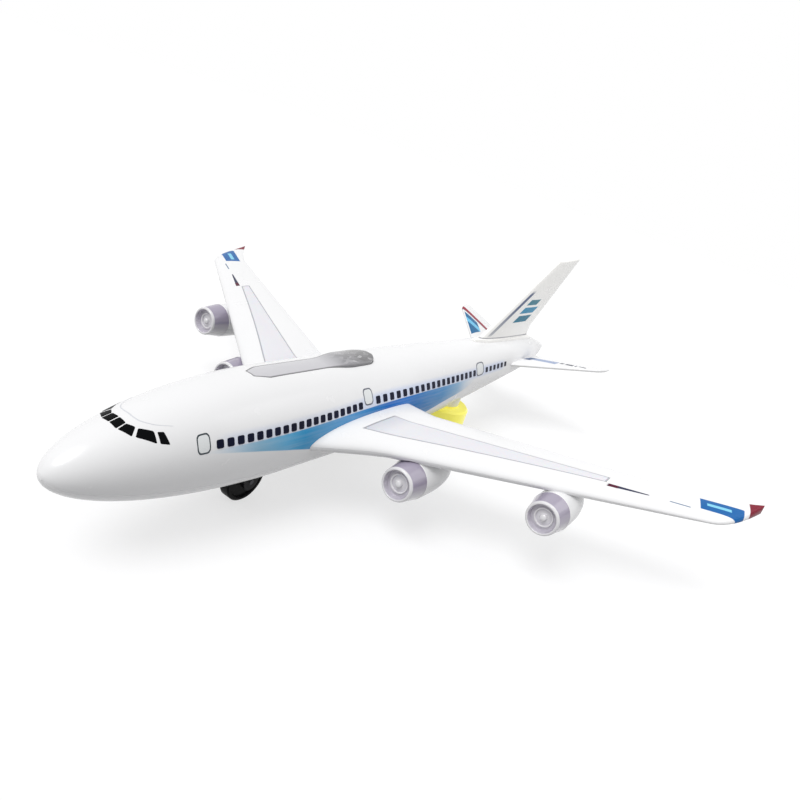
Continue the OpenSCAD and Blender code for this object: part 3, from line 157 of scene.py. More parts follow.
class Graph:
    """Adds and joins the nodes of one tree."""

    def __init__(self, tree: bpy.types.NodeTree) -> None:
        """Keeps the tree to work on."""
        self.tree = tree

    def add(self, kind: str, inputs: dict | None = None, **settings: object) -> bpy.types.Node:
        """Adds a node.

        Args:
            kind: the node's type name.
            inputs: values or sockets, by input name or number.
            settings: the node's own properties.

        Returns:
            The new node.
        """
        node = self.tree.nodes.new(kind)
        for key, value in settings.items():
            setattr(node, key, value)
        for key, value in (inputs or {}).items():
            if isinstance(value, Socket):
                self.tree.links.new(value, node.inputs[key])
            else:
                node.inputs[key].default_value = value
        return node

    def math(self, operation: str, a: Input, b: Input = 0.0) -> Socket:
        """Sum, product or other operation on two numbers or sockets."""
        return self.add("ShaderNodeMath", {0: a, 1: b}, operation=operation).outputs[0]

    def times(self, first: Socket, *factors: Input) -> Socket:
        """Product of a socket and any number of factors.

        Args:
            first: the socket.
            factors: numbers or sockets.

        Returns:
            The product, or the socket itself when there are no factors.
        """
        for factor in factors:
            first = self.math("MULTIPLY", first, factor)
        return first

    def lean(self, a: Socket, b: Socket, slope: float) -> Socket:
        """Sum of one socket and another one times a slope."""
        return self.math("ADD", a, self.times(b, slope))

    def span(
        self, value: Socket, low: float, high: float,
        to_low: float = 0.0, to_high: float = 1.0, soft: bool = False,
    ) -> Socket:
        """Maps one range of a value to another.

        Args:
            value: the socket to map.
            low: start of its range.
            high: end of its range.
            to_low: result at the start.
            to_high: result at the end.
            soft: eases both ends.

        Returns:
            The mapped socket, held inside its range.
        """
        limits = {"From Min": low, "From Max": high, "To Min": to_low, "To Max": to_high}
        kind = "SMOOTHSTEP" if soft else "LINEAR"
        node = self.add("ShaderNodeMapRange", {"Value": value, **limits}, interpolation_type=kind)
        return node.outputs[0]

    def band(self, value: Socket, low: Input, high: Input, edge: float) -> Socket:
        """Share that is 1 between two limits, with soft edges.

        Args:
            value: the socket to test.
            low: lower limit.
            high: upper limit.
            edge: width of the soft edge.

        Returns:
            The share socket.
        """
        above = self.span(self.math("SUBTRACT", value, low), -edge, edge, soft=True)
        below = self.span(self.math("SUBTRACT", high, value), -edge, edge, soft=True)
        return self.times(above, below)

    def axes(self, place: Socket) -> list[Socket]:
        """Object coordinates in millimetres.

        Args:
            place: Object coordinates in metres.

        Returns:
            One socket for each axis.
        """
        inputs = {0: place, 1: (1 / MM, 1 / MM, 1 / MM)}
        scaled = self.add("ShaderNodeVectorMath", inputs, operation="MULTIPLY").outputs[0]
        return list(self.add("ShaderNodeSeparateXYZ", {0: scaled}).outputs)

    def stretch(self, place: Socket, scale: Point) -> Socket:
        """Object coordinates scaled along each axis."""
        return self.add("ShaderNodeMapping", {0: place, 3: scale}).outputs[0]

    def tone(self) -> Socket:
        """Tone from 0 to 1 that a mesh carries on its points."""
        return self.add("ShaderNodeAttribute", attribute_name="tone").outputs["Fac"]

    def over(self, share: Input, below: object, above: object) -> Socket:
        """Colour below with colour above laid over it by a share."""
        node = self.add("ShaderNodeMix", {0: share, 6: below, 7: above}, data_type="RGBA")
        return node.outputs[2]

    def noise(self, vector: Socket, scale: float, detail: float = 2.0) -> Socket:
        """Noise from 0 to 1 on a vector."""
        inputs = {"Vector": vector, "Scale": scale, "Detail": detail}
        return self.add("ShaderNodeTexNoise", inputs).outputs[0]

    def stops(self, share: Socket, colours: Stops) -> Socket:
        """Colour by a share.

        Args:
            share: place between the first and the last stop.
            colours: place and shade of each stop.

        Returns:
            The colour socket.
        """
        node = self.add("ShaderNodeValToRGB", {0: share})
        elements = node.color_ramp.elements
        while len(elements) < len(colours):
            elements.new(0.5)
        for element, (place, shade) in zip(elements, colours):
            element.position = place
            element.color = linear(shade)
        return node.outputs[0]

    def curve(self, share: Socket, points: Line) -> Socket:
        """Value along a curve.

        Args:
            share: place along the curve.
            points: places and values from 0 to 1, in order.

        Returns:
            The value socket.
        """
        node = self.add("ShaderNodeFloatCurve", {1: share})
        line = node.mapping.curves[0].points
        for i, (x, y) in enumerate(points):
            point = line[i] if i < 2 else line.new(x, y)
            point.location = (x, y)
        for point, location in zip(line, points):
            point.location = location
        node.mapping.update()
        return node.outputs[0]


def blank(owner: bpy.types.ID) -> Graph:
    """Empties the node tree of a material or a world.

    Args:
        owner: the material or the world.

    Returns:
        Its empty tree, to add to.
    """
    owner.use_nodes = True
    owner.node_tree.nodes.clear()
    return Graph(owner.node_tree)


class Relief(Enum):
    """Fine surface that a finish carries."""

    PEEL = "gloss moulding with a faint orange peel"
    SPARK = "satin moulding with a fine spark-eroded grain"
    BRUSH = "metal with drawn lines"
    FROST = "blasted frosting"
    CRINKLE = "facets moulded on the inside of a clear cover"


GRAIN = {Relief.PEEL: 420.0, Relief.SPARK: 2600.0, Relief.FROST: 1700.0}
DRAWN_LINES = (2500.0, 300.0, 2500.0)
LONG_FACETS = (110.0, 420.0, 200.0)
CLOUD_SCALE = 55.0
CLOUD_RANGE = (0.35, 0.65)
GLOSS_SCALE = 90.0
GLOSS_RANGE = (0.3, 0.7)
BUMP_STRENGTH = 0.5
COAT_ROUGHNESS = 0.06
SCATTER_DEPTH = 0.002
INK_SHEEN = 0.06


@dataclass(frozen=True)
class Finish:
    """Moulded plastic, rubber or metal with its own fine surface and uneven gloss."""

    name: str
    shade: Shade
    rough: float = 0.28
    relief: Relief = Relief.PEEL
    depth: float = 0.02
    mottle: float = 0.03
    coat: float = 0.0
    metal: float = 0.0
    clear: float = 0.0
    ior: float = 1.49
    scatter: float = 0.0
    sheen: float = 0.5
    uneven: float = 0.15
    # Emission that paints light onto a part that is no lamp.
    glow: float = 0.0

    def ground(self, graph: Graph, place: Socket) -> Socket:
        """Colour of the bare material, with slight unevenness.

        Args:
            graph: the material's nodes.
            place: Object coordinates.

        Returns:
            The colour socket.
        """
        cloud = graph.span(graph.noise(place, CLOUD_SCALE, 3.0), *CLOUD_RANGE)
        dark = tuple(int(v * (1 - self.mottle)) for v in self.shade)
        return graph.over(cloud, linear(self.shade), linear(dark))

    def print_on(self, graph: Graph, place: Socket, ground: Socket) -> Printed:
        """Lays this finish's prints over its ground, none by default."""
        return ground, None

    def height(self, graph: Graph, place: Socket) -> Socket:
        """Height from 0 to 1 of the fine surface.

        Args:
            graph: the material's nodes.
            place: Object coordinates.

        Returns:
            The height socket.
        """
        if self.relief is Relief.BRUSH:
            return graph.noise(graph.stretch(place, DRAWN_LINES), 1.0, 3.0)
        if self.relief is Relief.CRINKLE:
            inputs = {"Vector": graph.stretch(place, LONG_FACETS), "Scale": 1.0}
            return graph.add("ShaderNodeTexVoronoi", inputs, feature="F1").outputs["Distance"]
        return graph.noise(place, GRAIN[self.relief])

    def material(self) -> bpy.types.Material:
        """Builds the node material.

        Returns:
            The material, made once for each name.
        """
        label = f"toy_{self.name}"
        made = bpy.data.materials.get(label)
        if made:
            return made
        made = bpy.data.materials.new(label)
        graph = blank(made)
        place = graph.add("ShaderNodeTexCoord").outputs["Object"]
        colour, inked = self.print_on(graph, place, self.ground(graph, place))
        smoother, rougher = self.rough * (1 - self.uneven), self.rough * (1 + self.uneven)
        patches = graph.noise(place, GLOSS_SCALE, 4.0)
        gloss = graph.span(patches, *GLOSS_RANGE, smoother, rougher)
        height = self.height(graph, place)
        bump = graph.add(
            "ShaderNodeBump",
            {"Strength": BUMP_STRENGTH, "Distance": self.depth * MM, "Height": height},
        )
        sheen, coat = self.sheen, self.coat
        if inked:
            sheen = graph.span(inked, 0.0, 1.0, self.sheen, INK_SHEEN)
            coat = graph.span(inked, 0.0, 1.0, self.coat, 0.0)
        shader = graph.add("ShaderNodeBsdfPrincipled", {
            "Base Color": colour,
            "Emission Color": colour,
            "Emission Strength": self.glow,
            "Roughness": gloss,
            "Normal": bump.outputs[0],
            "Metallic": self.metal,
            "IOR": self.ior,
            "Transmission Weight": self.clear,
            "Coat Weight": coat,
            "Coat Roughness": COAT_ROUGHNESS,
            "Subsurface Weight": self.scatter,
            "Subsurface Scale": SCATTER_DEPTH,
            "Specular IOR Level": sheen,
        })
        graph.add("ShaderNodeOutputMaterial", {0: shader.outputs[0]})
        return made

    def dress(self, piece: Piece) -> None:
        """Gives a piece this finish alone."""
        piece.data.materials.clear()
        piece.data.materials.append(self.material())


def lay(graph: Graph, under: Socket, prints: list[tuple]) -> Printed:
    """Lays flat inks over a colour.

    Args:
        graph: the material's nodes.
        under: the colour below.
        prints: a shade with the shares that bound it, for each ink.

    Returns:
        The printed colour and the share of it that is ink.
    """
    colour, inked = under, None
    for shade, *shares in prints:
        share = graph.times(*shares)
        colour = graph.over(share, colour, linear(shade))
        inked = graph.math("MAXIMUM", inked, share) if inked else share
    return colour, inked


@dataclass(frozen=True)
class BodyPrint(Finish):
    """White shell with a long blue side stripe and a pale band behind the cabin windows."""

    top: tuple[Spot, ...] = (
        (163, 45.0), (138, 45.7), (119, 46.0), (100, 46.5), (76, 47.5), (60, 48.0), (20, 48.4),
        (-3, 48.0), (-30, 47.5), (-48, 47.3), (-56, 47.1),
    )
    low: tuple[Spot, ...] = (
        (163, 44.0), (143, 41.6), (123, 38.2), (100, 34.0), (58, 30.5), (13, 34.5), (-9, 37.7),
        (-21, 39.3), (-34, 41.0), (-47, 44.4), (-56, 47.0),
    )
    reach: Spot = (-110.0, 170.0)
    rise: Spot = (25.0, 55.0)
    fade: Spot = (-50.0, 162.0)
    blues: Stops = (
        (0.0, (214, 228, 244)), (0.07, (199, 220, 240)), (0.12, (149, 190, 224)),
        (0.21, (86, 154, 212)), (0.31, (56, 134, 203)), (0.4, (30, 116, 200)),
        (0.48, (8, 102, 190)), (0.55, (48, 128, 194)), (0.62, (88, 156, 213)),
        (0.73, (84, 160, 212)), (0.78, (62, 160, 214)), (0.83, (106, 184, 228)),
        (0.9, (145, 192, 220)), (1.0, (206, 224, 238)),
    )
    haze: Shade = (206, 216, 240)
    haze_rise: Spot = (-2.9, 2.6)
    haze_edge: float = 1.3
    haze_reach: Spot = (-98.0, 158.0)
    haze_end: float = 5.0
    haze_fade: Quad = (90.0, 60.0, 0.5, 0.9)
    stripe_edge: float = 0.22
    stripe_reach: Spot = (-40.0, 157.0)
    stripe_end: float = 14.0
    streaks: Point = (30.0, 900.0, 900.0)
    streak_fade: Quad = (0.25, 0.6, 0.9, 1.0)

    def print_on(self, graph: Graph, place: Socket, ground: Socket) -> Printed:
        """Lays the window band and the stripe over the white.

        Args:
            graph: the material's nodes.
            place: Object coordinates.
            ground: colour of the bare shell.

        Returns:
            The printed colour and the share of it that is ink.
        """
        x, _, z = graph.axes(place)
        along = graph.span(x, *self.reach)

        def line(points: tuple[Spot, ...]) -> Socket:
            """Height of a line through points along the body."""
            spots = sorted((ramp(px, *self.reach), ramp(pz, *self.rise)) for px, pz in points)
            return graph.span(graph.curve(along, spots), 0.0, 1.0, *self.rise)

        over_row = graph.math("SUBTRACT", z, line(WINDOW_ROW))
        tint = graph.times(
            graph.band(over_row, *self.haze_rise, self.haze_edge),
            graph.band(x, *self.haze_reach, self.haze_end),
            graph.span(x, *self.haze_fade),
        )
        colour = graph.over(tint, ground, linear(self.haze))
        streaks = graph.noise(graph.stretch(place, self.streaks), 1.0, 3.0)
        stripe = graph.times(
            graph.band(z, line(self.low), line(self.top), self.stripe_edge),
            graph.band(x, *self.stripe_reach, self.stripe_end),
            graph.span(streaks, *self.streak_fade),
        )
        blue = graph.stops(graph.span(x, *self.fade), self.blues)
        return graph.over(stripe, colour, blue), stripe


@dataclass(frozen=True)
class TipPrint(Finish):
    """White wing half with a blue bar and a crimson end, and lines on its upper side."""

    belly: bool = False
    soft: float = 0.25
    out_slope: float = -0.25
    bar: Shade = (10, 96, 164)
    bar_slope: float = 0.6
    bar_along: Spot = (74.5, 86.5)
    bar_out: Spot = (168.0, 191.0)
    core: Shade = (132, 206, 232)
    core_along: Spot = (78.6, 81.4)
    core_out: Spot = (171.5, 184.0)
    end: Shade = (124, 10, 40)
    end_out: Spot = (194.3, 210.0)
    pin: Shade = (44, 48, 76)
    pin_slope: float = 0.58
    pin_rear: float = 84.6
    pin_point: Quad = (126.0, 144.0, 87.6, 85.4)
    pin_wide: Spot = (125.6, 143.0)
    pin_edge: float = 0.2
    pin_end: float = 0.4
    pin_root: Shade = (84, 20, 44)
    root_front: float = 87.4
    root_wide: Spot = (125.6, 130.0)
    root_end: float = 0.8
    dash: Shade = (96, 120, 150)
    dash_front: float = 85.5
    dash_wide: Spot = (152.0, 161.0)

    def print_on(self, graph: Graph, place: Socket, ground: Socket) -> Printed:
        """Lays the bar with its pale core, the end and the pinstripe.

        Args:
            graph: the material's nodes.
            place: Object coordinates.
            ground: colour of the bare shell.

        Returns:
            The printed colour and the share of it that is ink.
        """
        x, y, _ = graph.axes(place)
        wide = graph.math("ABSOLUTE", y)
        out = graph.lean(wide, x, self.out_slope)
        along = graph.lean(x, wide, self.bar_slope)

        def bar(shade: Shade, reach: Spot, span: Spot) -> tuple:
            """Ink of a bar between two lines along the wing and two distances out."""
            return shade, graph.band(along, *reach, self.soft), graph.band(out, *span, self.soft)

        ends = [
            bar(self.bar, self.bar_along, self.bar_out),
            (self.end, graph.band(out, *self.end_out, self.soft)),
        ]
        if self.belly:
            return lay(graph, ground, ends)
        line = graph.lean(x, wide, self.pin_slope)
        point = graph.span(wide, *self.pin_point)

        def pin(shade: Shade, front: Input, reach: Spot, end: float) -> tuple:
            """Ink of a line from the pinstripe's rear edge to a front edge."""
            across = graph.band(line, self.pin_rear, front, self.pin_edge)
            return shade, across, graph.band(wide, *reach, end)

        return lay(graph, ground, [
            *ends,
            pin(self.pin, point, self.pin_wide, self.pin_end),
            pin(self.pin_root, self.root_front, self.root_wide, self.root_end),
            pin(self.dash, self.dash_front, self.dash_wide, self.pin_end),
            bar(self.core, self.core_along, self.core_out),
        ])


@dataclass(frozen=True)
class FinPrint(Finish):
    """White fin with a grey-blue line behind its front edge and three stepped bars."""

    sweep: float = 1.684
    front: float = 26.7
    edge: Shade = (186, 188, 194)
    edge_back: Spot = (5.6, 10.4)
    edge_soft: float = 0.5
    edge_rise: Spot = (64.5, 95.0)
    edge_end: float = 1.5
    edge_top: Shade = (104, 116, 146)
    top_rise: Spot = (60.0, 94.0)
    top_fade: Spot = (66.0, 84.0)
    bars: tuple[tuple[Shade, Spot, Spot], ...] = (
        ((40, 122, 150), (24.0, 49.0), (72.6, 77.4)),
        ((54, 146, 186), (20.0, 46.0), (79.0, 83.4)),
        ((62, 132, 152), (18.0, 37.0), (85.0, 89.0)),
    )
    bar_end: float = 0.4
    bar_edge: float = 0.2
    foot: Shade = (172, 172, 178)
    foot_slope: float = -0.029
    foot_rise: Spot = (65.3, 66.0)
    foot_edge: float = 0.15

    def print_on(self, graph: Graph, place: Socket, ground: Socket) -> Printed:
        """Lays the line, the bars and the thin line at the foot.

        Args:
            graph: the material's nodes.
            place: Object coordinates.
            ground: colour of the bare fin.

        Returns:
            The printed colour and the share of it that is ink.
        """
        x, _, z = graph.axes(place)
        back = graph.math("SUBTRACT", self.front, graph.lean(x, z, self.sweep))
        seam = graph.lean(z, x, self.foot_slope)
        edge = graph.band(back, *self.edge_back, self.edge_soft)
        whole = graph.band(z, *self.edge_rise, self.edge_end)
        upper = graph.band(z, *self.top_rise, self.edge_end)
        bars = [
            (shade, graph.band(back, *reach, self.bar_end), graph.band(z, *rise, self.bar_edge))
            for shade, reach, rise in self.bars
        ]
        return lay(graph, ground, [
            (self.edge, edge, whole),
            (self.edge_top, edge, graph.span(z, *self.top_fade), upper),
            *bars,
            (self.foot, graph.band(seam, *self.foot_rise, self.foot_edge)),
        ])


@dataclass(frozen=True)
class TailPrint(Finish):
    """White tailplane with a line along its rear part, and a panel in front of it on one side."""

    edge: float = 0.3
    fine_edge: float = 0.2
    end: float = 0.5
    half: Spot = (-0.5, 0.5)
    aft_slope: float = 0.325
    front_slope: float = 1.235
    root: Shade = (58, 82, 122)
    root_strip: Quad = (-147.0, -131.0, 14.0, 18.5)
    line: Shade = (140, 156, 190)
    line_strip: Quad = (-147.0, -135.5, 18.5, 34.0)
    dashes: Shade = (56, 62, 80)
    dash_strip: Quad = (-147.0, -141.2, 35.0, 46.0)
    dash_rate: float = 0.16
    dash_gap: float = 0.2
    last_strip: Quad = (-146.2, -144.0, 47.0, 52.0)
    rear: Shade = (150, 26, 52)
    rear_strip: Quad = (-151.6, -147.4, 13.0, 64.0)
    rear_edge: Shade = (70, 36, 66)
    rear_edge_strip: Quad = (-147.4, -146.6, 13.0, 60.0)
    panel: Shade = (24, 104, 152)
    panel_aft: Spot = (-144.6, -100.0)
    panel_wide: Spot = (27.5, 55.0)
    panel_front: Spot = (-110.0, -95.5)
    streak: Shade = (112, 194, 232)
    streak_aft: Spot = (-139.0, -134.0)

    def print_on(self, graph: Graph, place: Socket, ground: Socket) -> Printed:
        """Lays the lines and the panel.

        Args:
            graph: the material's nodes.
            place: Object coordinates.
            ground: colour of the bare tailplane.

        Returns:
            The printed colour and the share of it that is ink.
        """
        x, y, _ = graph.axes(place)
        wide = graph.math("ABSOLUTE", y)
        aft = graph.lean(x, wide, self.aft_slope)
        front = graph.lean(x, wide, self.front_slope)
        port, starboard = graph.span(y, *self.half), graph.span(y, *self.half[::-1])
        teeth = graph.math("FRACT", graph.times(wide, self.dash_rate))
        gaps = graph.math("GREATER_THAN", teeth, self.dash_gap)

        def strip(sides: Quad, edge: float) -> Socket:
            """Share of a strip between two lines along the plane and two distances out."""
            across = graph.band(aft, *sides[:2], edge)
            return graph.times(across, graph.band(wide, *sides[2:], self.end))

        panel = (
            graph.band(wide, *self.panel_wide, self.edge),
            graph.band(front, *self.panel_front, self.edge),
            starboard,
        )
        return lay(graph, ground, [
            (self.root, strip(self.root_strip, self.edge), port),
            (self.line, strip(self.line_strip, self.edge), port),
            (self.dashes, strip(self.dash_strip, self.edge), port, gaps),
            (self.dashes, strip(self.last_strip, self.edge), port),
            (self.rear, strip(self.rear_strip, self.edge), starboard),
            (self.rear_edge, strip(self.rear_edge_strip, self.fine_edge), starboard),
            (self.panel, graph.band(aft, *self.panel_aft, self.edge), *panel),
            (self.streak, graph.band(aft, *self.streak_aft, self.edge), *panel),
        ])


@dataclass(frozen=True)
class ToneFinish(Finish):
    """Clear or frosted cover whose colour follows the tone that its points carry."""

    tones: Stops = ()

    def print_on(self, graph: Graph, place: Socket, ground: Socket) -> Printed:
        """Colours the cover by its tone."""
        return graph.stops(graph.tone(), self.tones), None


@dataclass(frozen=True)
class RoofPrint(Finish):
    """Smoky roof cover, pale in front and dark over the blister, with reflections painted on its
    facets.
    """

    reach: Spot = (48.0, 131.0)
    smoke: Stops = (
        (0.0, (100, 100, 102)), (0.14, (114, 113, 116)), (0.24, (142, 141, 146)),
        (0.31, (152, 151, 156)), (0.38, (184, 183, 188)), (0.46, (204, 203, 208)),
        (1.0, (209, 208, 213)),
    )
    facets: Point = (300.0, 620.0, 300.0)
    blister: Spot = (79.0, 66.0)
    # Facet shades painted as reflections on the crinkled cover.
    dark: Shade = (78, 78, 80)
    dark_reflection_fade: Quad = (0.4, 0.1, 0.0, 0.5)
    pale: Shade = (226, 225, 228)
    glint_fade: Quad = (0.7, 0.95, 0.0, 0.4)
    rim: Shade = (128, 127, 131)

    def print_on(self, graph: Graph, place: Socket, ground: Socket) -> Printed:
        """Darkens the cover towards the blister and breaks it into facets, painting the lighter and
        darker ones as reflections.

        Args:
            graph: the material's nodes.
            place: Object coordinates.
            ground: colour of the bare cover.

        Returns:
            The printed colour, with no ink.
        """
        x, _, _ = graph.axes(place)
        colour = graph.stops(graph.span(x, *self.reach), self.smoke)
        inputs = {"Vector": graph.stretch(place, self.facets), "Scale": 1.0}
        cell = graph.add("ShaderNodeTexVoronoi", inputs).outputs["Color"]
        facet = graph.add("ShaderNodeSeparateColor", {0: cell}).outputs[0]
        rear = graph.span(x, *self.blister)
        # Painted reflections: darker and paler facets over the blister.
        for shade, fade in ((self.dark, self.dark_reflection_fade), (self.pale, self.glint_fade)):
            share = graph.times(rear, graph.span(facet, *fade))
            colour = graph.over(share, colour, linear(shade))
        return graph.over(graph.tone(), colour, linear(self.rim)), None


@dataclass(frozen=True)
class BoardFinish(Finish):
    """Green solder mask with paler tracks."""

    track: Shade = (92, 150, 96)
    track_scale: float = 160.0
    track_width: float = 0.03
    track_share: float = 0.6

    def print_on(self, graph: Graph, place: Socket, ground: Socket) -> Printed:
        """Lays tracks over the mask.

        Args:
            graph: the material's nodes.
            place: Object coordinates.
            ground: colour of the bare mask.

        Returns:
            The printed colour, with no ink.
        """
        inputs = {"Vector": place, "Scale": self.track_scale, "Mortar Size": self.track_width}
        tracks = graph.add("ShaderNodeTexBrick", inputs).outputs["Fac"]
        share = graph.times(tracks, self.track_share)
        return graph.over(share, ground, linear(self.track)), None


@dataclass(frozen=True)
class CellFinish(Finish):
    """Sleeved dry cell: a dark sleeve with a copper-coloured end."""

    end: Shade = (196, 140, 72)
    end_reach: Spot = (78.0, 120.0)
    end_edge: float = 0.15

    def print_on(self, graph: Graph, place: Socket, ground: Socket) -> Printed:
        """Colours the end towards the button."""
        share = graph.band(graph.axes(place)[0], *self.end_reach, self.end_edge)
        return graph.over(share, ground, linear(self.end)), None


WHITE: Shade = (238, 238, 239)
# A creamier and brighter white than the shell's: the extra brightness is painted light on the fin.
FIN_LIT_WHITE: Shade = (254, 253, 250)
SHELL = {"rough": 0.26, "depth": 0.003, "coat": 0.1, "mottle": 0.003, "uneven": 0.06}
METAL = {"relief": Relief.BRUSH, "depth": 0.01, "metal": 1.0}
INK_DEPTH = 0.004


class Shop(Enum):
    """Finishes by the record's slots, and the inks."""

    white_shell = Finish("white_shell", WHITE, **SHELL)
    body_print = BodyPrint("white_shell_body", WHITE, **SHELL)
    tip_print = TipPrint("white_shell_wing", WHITE, **SHELL)
    belly_print = TipPrint("white_shell_belly", WHITE, **SHELL, belly=True)
    fin_print = FinPrint("white_shell_fin", FIN_LIT_WHITE, **SHELL)
    tail_print = TailPrint("white_shell_tailplane", WHITE, **SHELL)
    smoke_window = RoofPrint(
        "smoke_window", (190, 190, 196), 0.16, Relief.CRINKLE, depth=0.05, clear=0.12, coat=0.3,
    )
    # Tone 1 is the bar's grey outline; the middle tones paint a reflection by the bar's root.
    frosted_bar = ToneFinish(
        "frosted_bar", (233, 232, 238), 0.45, Relief.FROST, depth=0.03, clear=0.05, scatter=0.1,
        tones=((0.0, (230, 229, 234)), (0.5, (212, 214, 222)), (1.0, (176, 177, 184))),
    )
    # The lens's tones paint light: a dark barrel top, a pale underside, bright highlights on the lip
    # and boss, and shade inside.
    clear_lens = ToneFinish(
        "clear_lens", (216, 211, 228), 0.07, depth=0.01, clear=0.25, ior=1.46, coat=0.4,
        tones=((0.0, (178, 170, 190)), (0.5, (218, 214, 224)), (1.0, (253, 252, 254))),
    )
    lamp_clear = Finish("lamp_clear", (246, 244, 236), 0.1, depth=0.01, clear=0.35)
    board = BoardFinish("board", (22, 96, 52), 0.35, depth=0.02, mottle=0.1)
    black_plastic = Finish(
        "black_plastic", (22, 22, 25), 0.45, Relief.SPARK, depth=0.02, mottle=0.15, sheen=0.12,
    )
    black_wheel = Finish("black_wheel", (13, 13, 15), 0.4, depth=0.01, mottle=0.15, sheen=0.06)
    tyre_rubber = Finish(
        "tyre_rubber", (32, 32, 33), 0.75, Relief.SPARK, depth=0.05, mottle=0.2, sheen=0.2,
    )
    # The yellow pod glows as painted light, so that it stays bright in the shade under the wing.
    yellow_plastic = Finish(
        "yellow_plastic", (255, 247, 108), 0.25, depth=0.01, mottle=0.03, coat=0.1, sheen=0.3,
        glow=0.34,
    )
    gear_nylon = Finish(
        "gear_nylon", (236, 234, 224), 0.45, Relief.SPARK, mottle=0.04, scatter=0.1,
    )
    steel = Finish("steel", (204, 206, 210), 0.28, mottle=0.08, **METAL)
    dark_steel = Finish("dark_steel", (62, 62, 66), 0.35, mottle=0.1, **METAL)
    brass = Finish("brass", (206, 172, 98), 0.28, mottle=0.08, **METAL)
    cell_jacket = CellFinish("cell_jacket", (46, 48, 54), 0.3, metal=0.3, mottle=0.06)
    ink_black = Finish("ink_black", (11, 12, 14), 0.4, depth=INK_DEPTH, mottle=0.2, sheen=0.03)
    ink_navy = Finish("ink_navy", (18, 23, 48), 0.35, depth=INK_DEPTH, mottle=0.2, sheen=0.06)
    ink_grey = Finish("ink_grey", (108, 112, 126), 0.3, depth=INK_DEPTH, mottle=0.08, sheen=0.2)
    ink_dark = Finish("ink_dark", (66, 74, 80), 0.3, depth=INK_DEPTH, mottle=0.08, sheen=0.15)
    ink_pale = Finish("ink_pale", (230, 233, 234), 0.3, depth=INK_DEPTH, mottle=0.01)
    # Faint grey painted as the shade under the cockpit brow.
    brow_shade = Finish("brow_shade", (212, 214, 219), 0.3, depth=INK_DEPTH, mottle=0.01)

    def dress(self, piece: Piece) -> None:
        """Gives a piece this finish."""
        self.value.dress(piece)


class Solid:
    """Points and faces in millimetres that become one mesh object."""

    def __init__(self) -> None:
        """Starts empty."""
        self.points: list[Point] = []
        self.faces: list[list[int]] = []
        self.tones: list[float] = []

    def skin(self, outer: Grid, inner: Grid, capped: bool = False, looped: bool = False) -> "Solid":
        """Adds the solid between two grids of points.

        Args:
            outer: rows of points on the outside.
            inner: the same rows on the inside.
            capped: closes each end across its columns instead of between the grids.
            looped: joins the last column to the first one.

        Returns:
            This solid.
        """
        base, m, k = len(self.points), len(outer), len(outer[0])
        self.points += [p for row in outer for p in row] + [p for row in inner for p in row]
        q = m * k
        pairs = [(j, (j + 1) % k) for j in range(k if looped else k - 1)]

        def face(*corners: int) -> None:
            """Adds a face by the numbers of its points in the grids."""
            self.faces.append([base + c for c in corners])

        for i in range(m - 1):
            o, n = i * k, (i + 1) * k
            for a, b in pairs:
                face(o + a, o + b, n + b, n + a)
                face(q + o + a, q + n + a, q + n + b, q + o + b)
            if not looped:
                face(o, n, q + n, q + o)
                face(o + k - 1, q + o + k - 1, q + n + k - 1, n + k - 1)
        for o in (0, (m - 1) * k):
            if capped:
                face(*(o + j for j in range(k)))
                face(*(q + o + j for j in range(k)))
                face(o, o + k - 1, q + o + k - 1, q + o)
            else:
                for a, b in pairs:
                    face(o + a, o + b, q + o + b, q + o + a)
        return self

    def lathe(self, profile: Line, at: Point, axis: str, count: int) -> "Solid":
        """Adds a turned solid.

        Args:
            profile: closed line of radius and distance along the axis.
            at: place of distance 0.
            axis: "x" to run backwards along the body, "z" to run upwards.
            count: points round the turn.

        Returns:
            This solid.
        """
        base, n = len(self.points), len(profile)
        for s in range(count):
            c, d = cosd(360 * s / count), sind(360 * s / count)
            for r, h in profile:
                if axis == "x":
                    self.points.append((at[0] - h, at[1] + r * c, at[2] + r * d))
                else:
                    self.points.append((at[0] + r * c, at[1] + r * d, at[2] + h))
        for s in range(count):
            here, there = base + s * n, base + (s + 1) % count * n
            for i in range(n):
                j = (i + 1) % n
                self.faces.append([here + i, here + j, there + j, there + i])
        return self

    def rod(self, radius: float, length: float, at: Point, axis: str, count: int) -> "Solid":
        """Adds a plain rod along an axis from a place."""
        return self.lathe([(0, 0), (radius, 0), (radius, length), (0, length)], at, axis, count)

    def block(self, low: Point, high: Point) -> "Solid":
        """Adds a box between two corners.

        Args:
            low: the corner with the lowest values.
            high: the corner with the highest values.

        Returns:
            This solid.
        """
        top, floor = (
            [[(x, y, z) for y in (low[1], high[1])] for x in (low[0], high[0])]
            for z in (high[2], low[2])
        )
        return self.skin(top, floor)

    def tint(self, rule: Callable[[Point], float]) -> "Solid":
        """Gives every point a tone from 0 to 1 by a rule on its place."""
        self.tones = [rule(p) for p in self.points]
        return self

    def piece(self, name: str, crease: float = CREASE) -> Piece:
        """Makes the mesh object, merged, facing outwards and smooth up to a crease angle.

        Args:
            name: the piece's name.
            crease: degrees past which an edge stays sharp.

        Returns:
            The object, at the origin.
        """
        mesh = bpy.data.meshes.new(name)
        mesh.from_pydata([Vector(p) * MM for p in self.points], [], self.faces)
        if self.tones:
            tones = mesh.attributes.new("tone", "FLOAT", "POINT")
            tones.data.foreach_set("value", self.tones)
        work = bmesh.new()
        work.from_mesh(mesh)
        bmesh.ops.remove_doubles(work, verts=work.verts, dist=WELD)
        bmesh.ops.dissolve_degenerate(work, edges=work.edges, dist=WELD)
        bmesh.ops.recalc_face_normals(work, faces=work.faces)
        work.to_mesh(mesh)
        work.free()
        made = stand(name, mesh)
        smooth(made, crease)
        return made


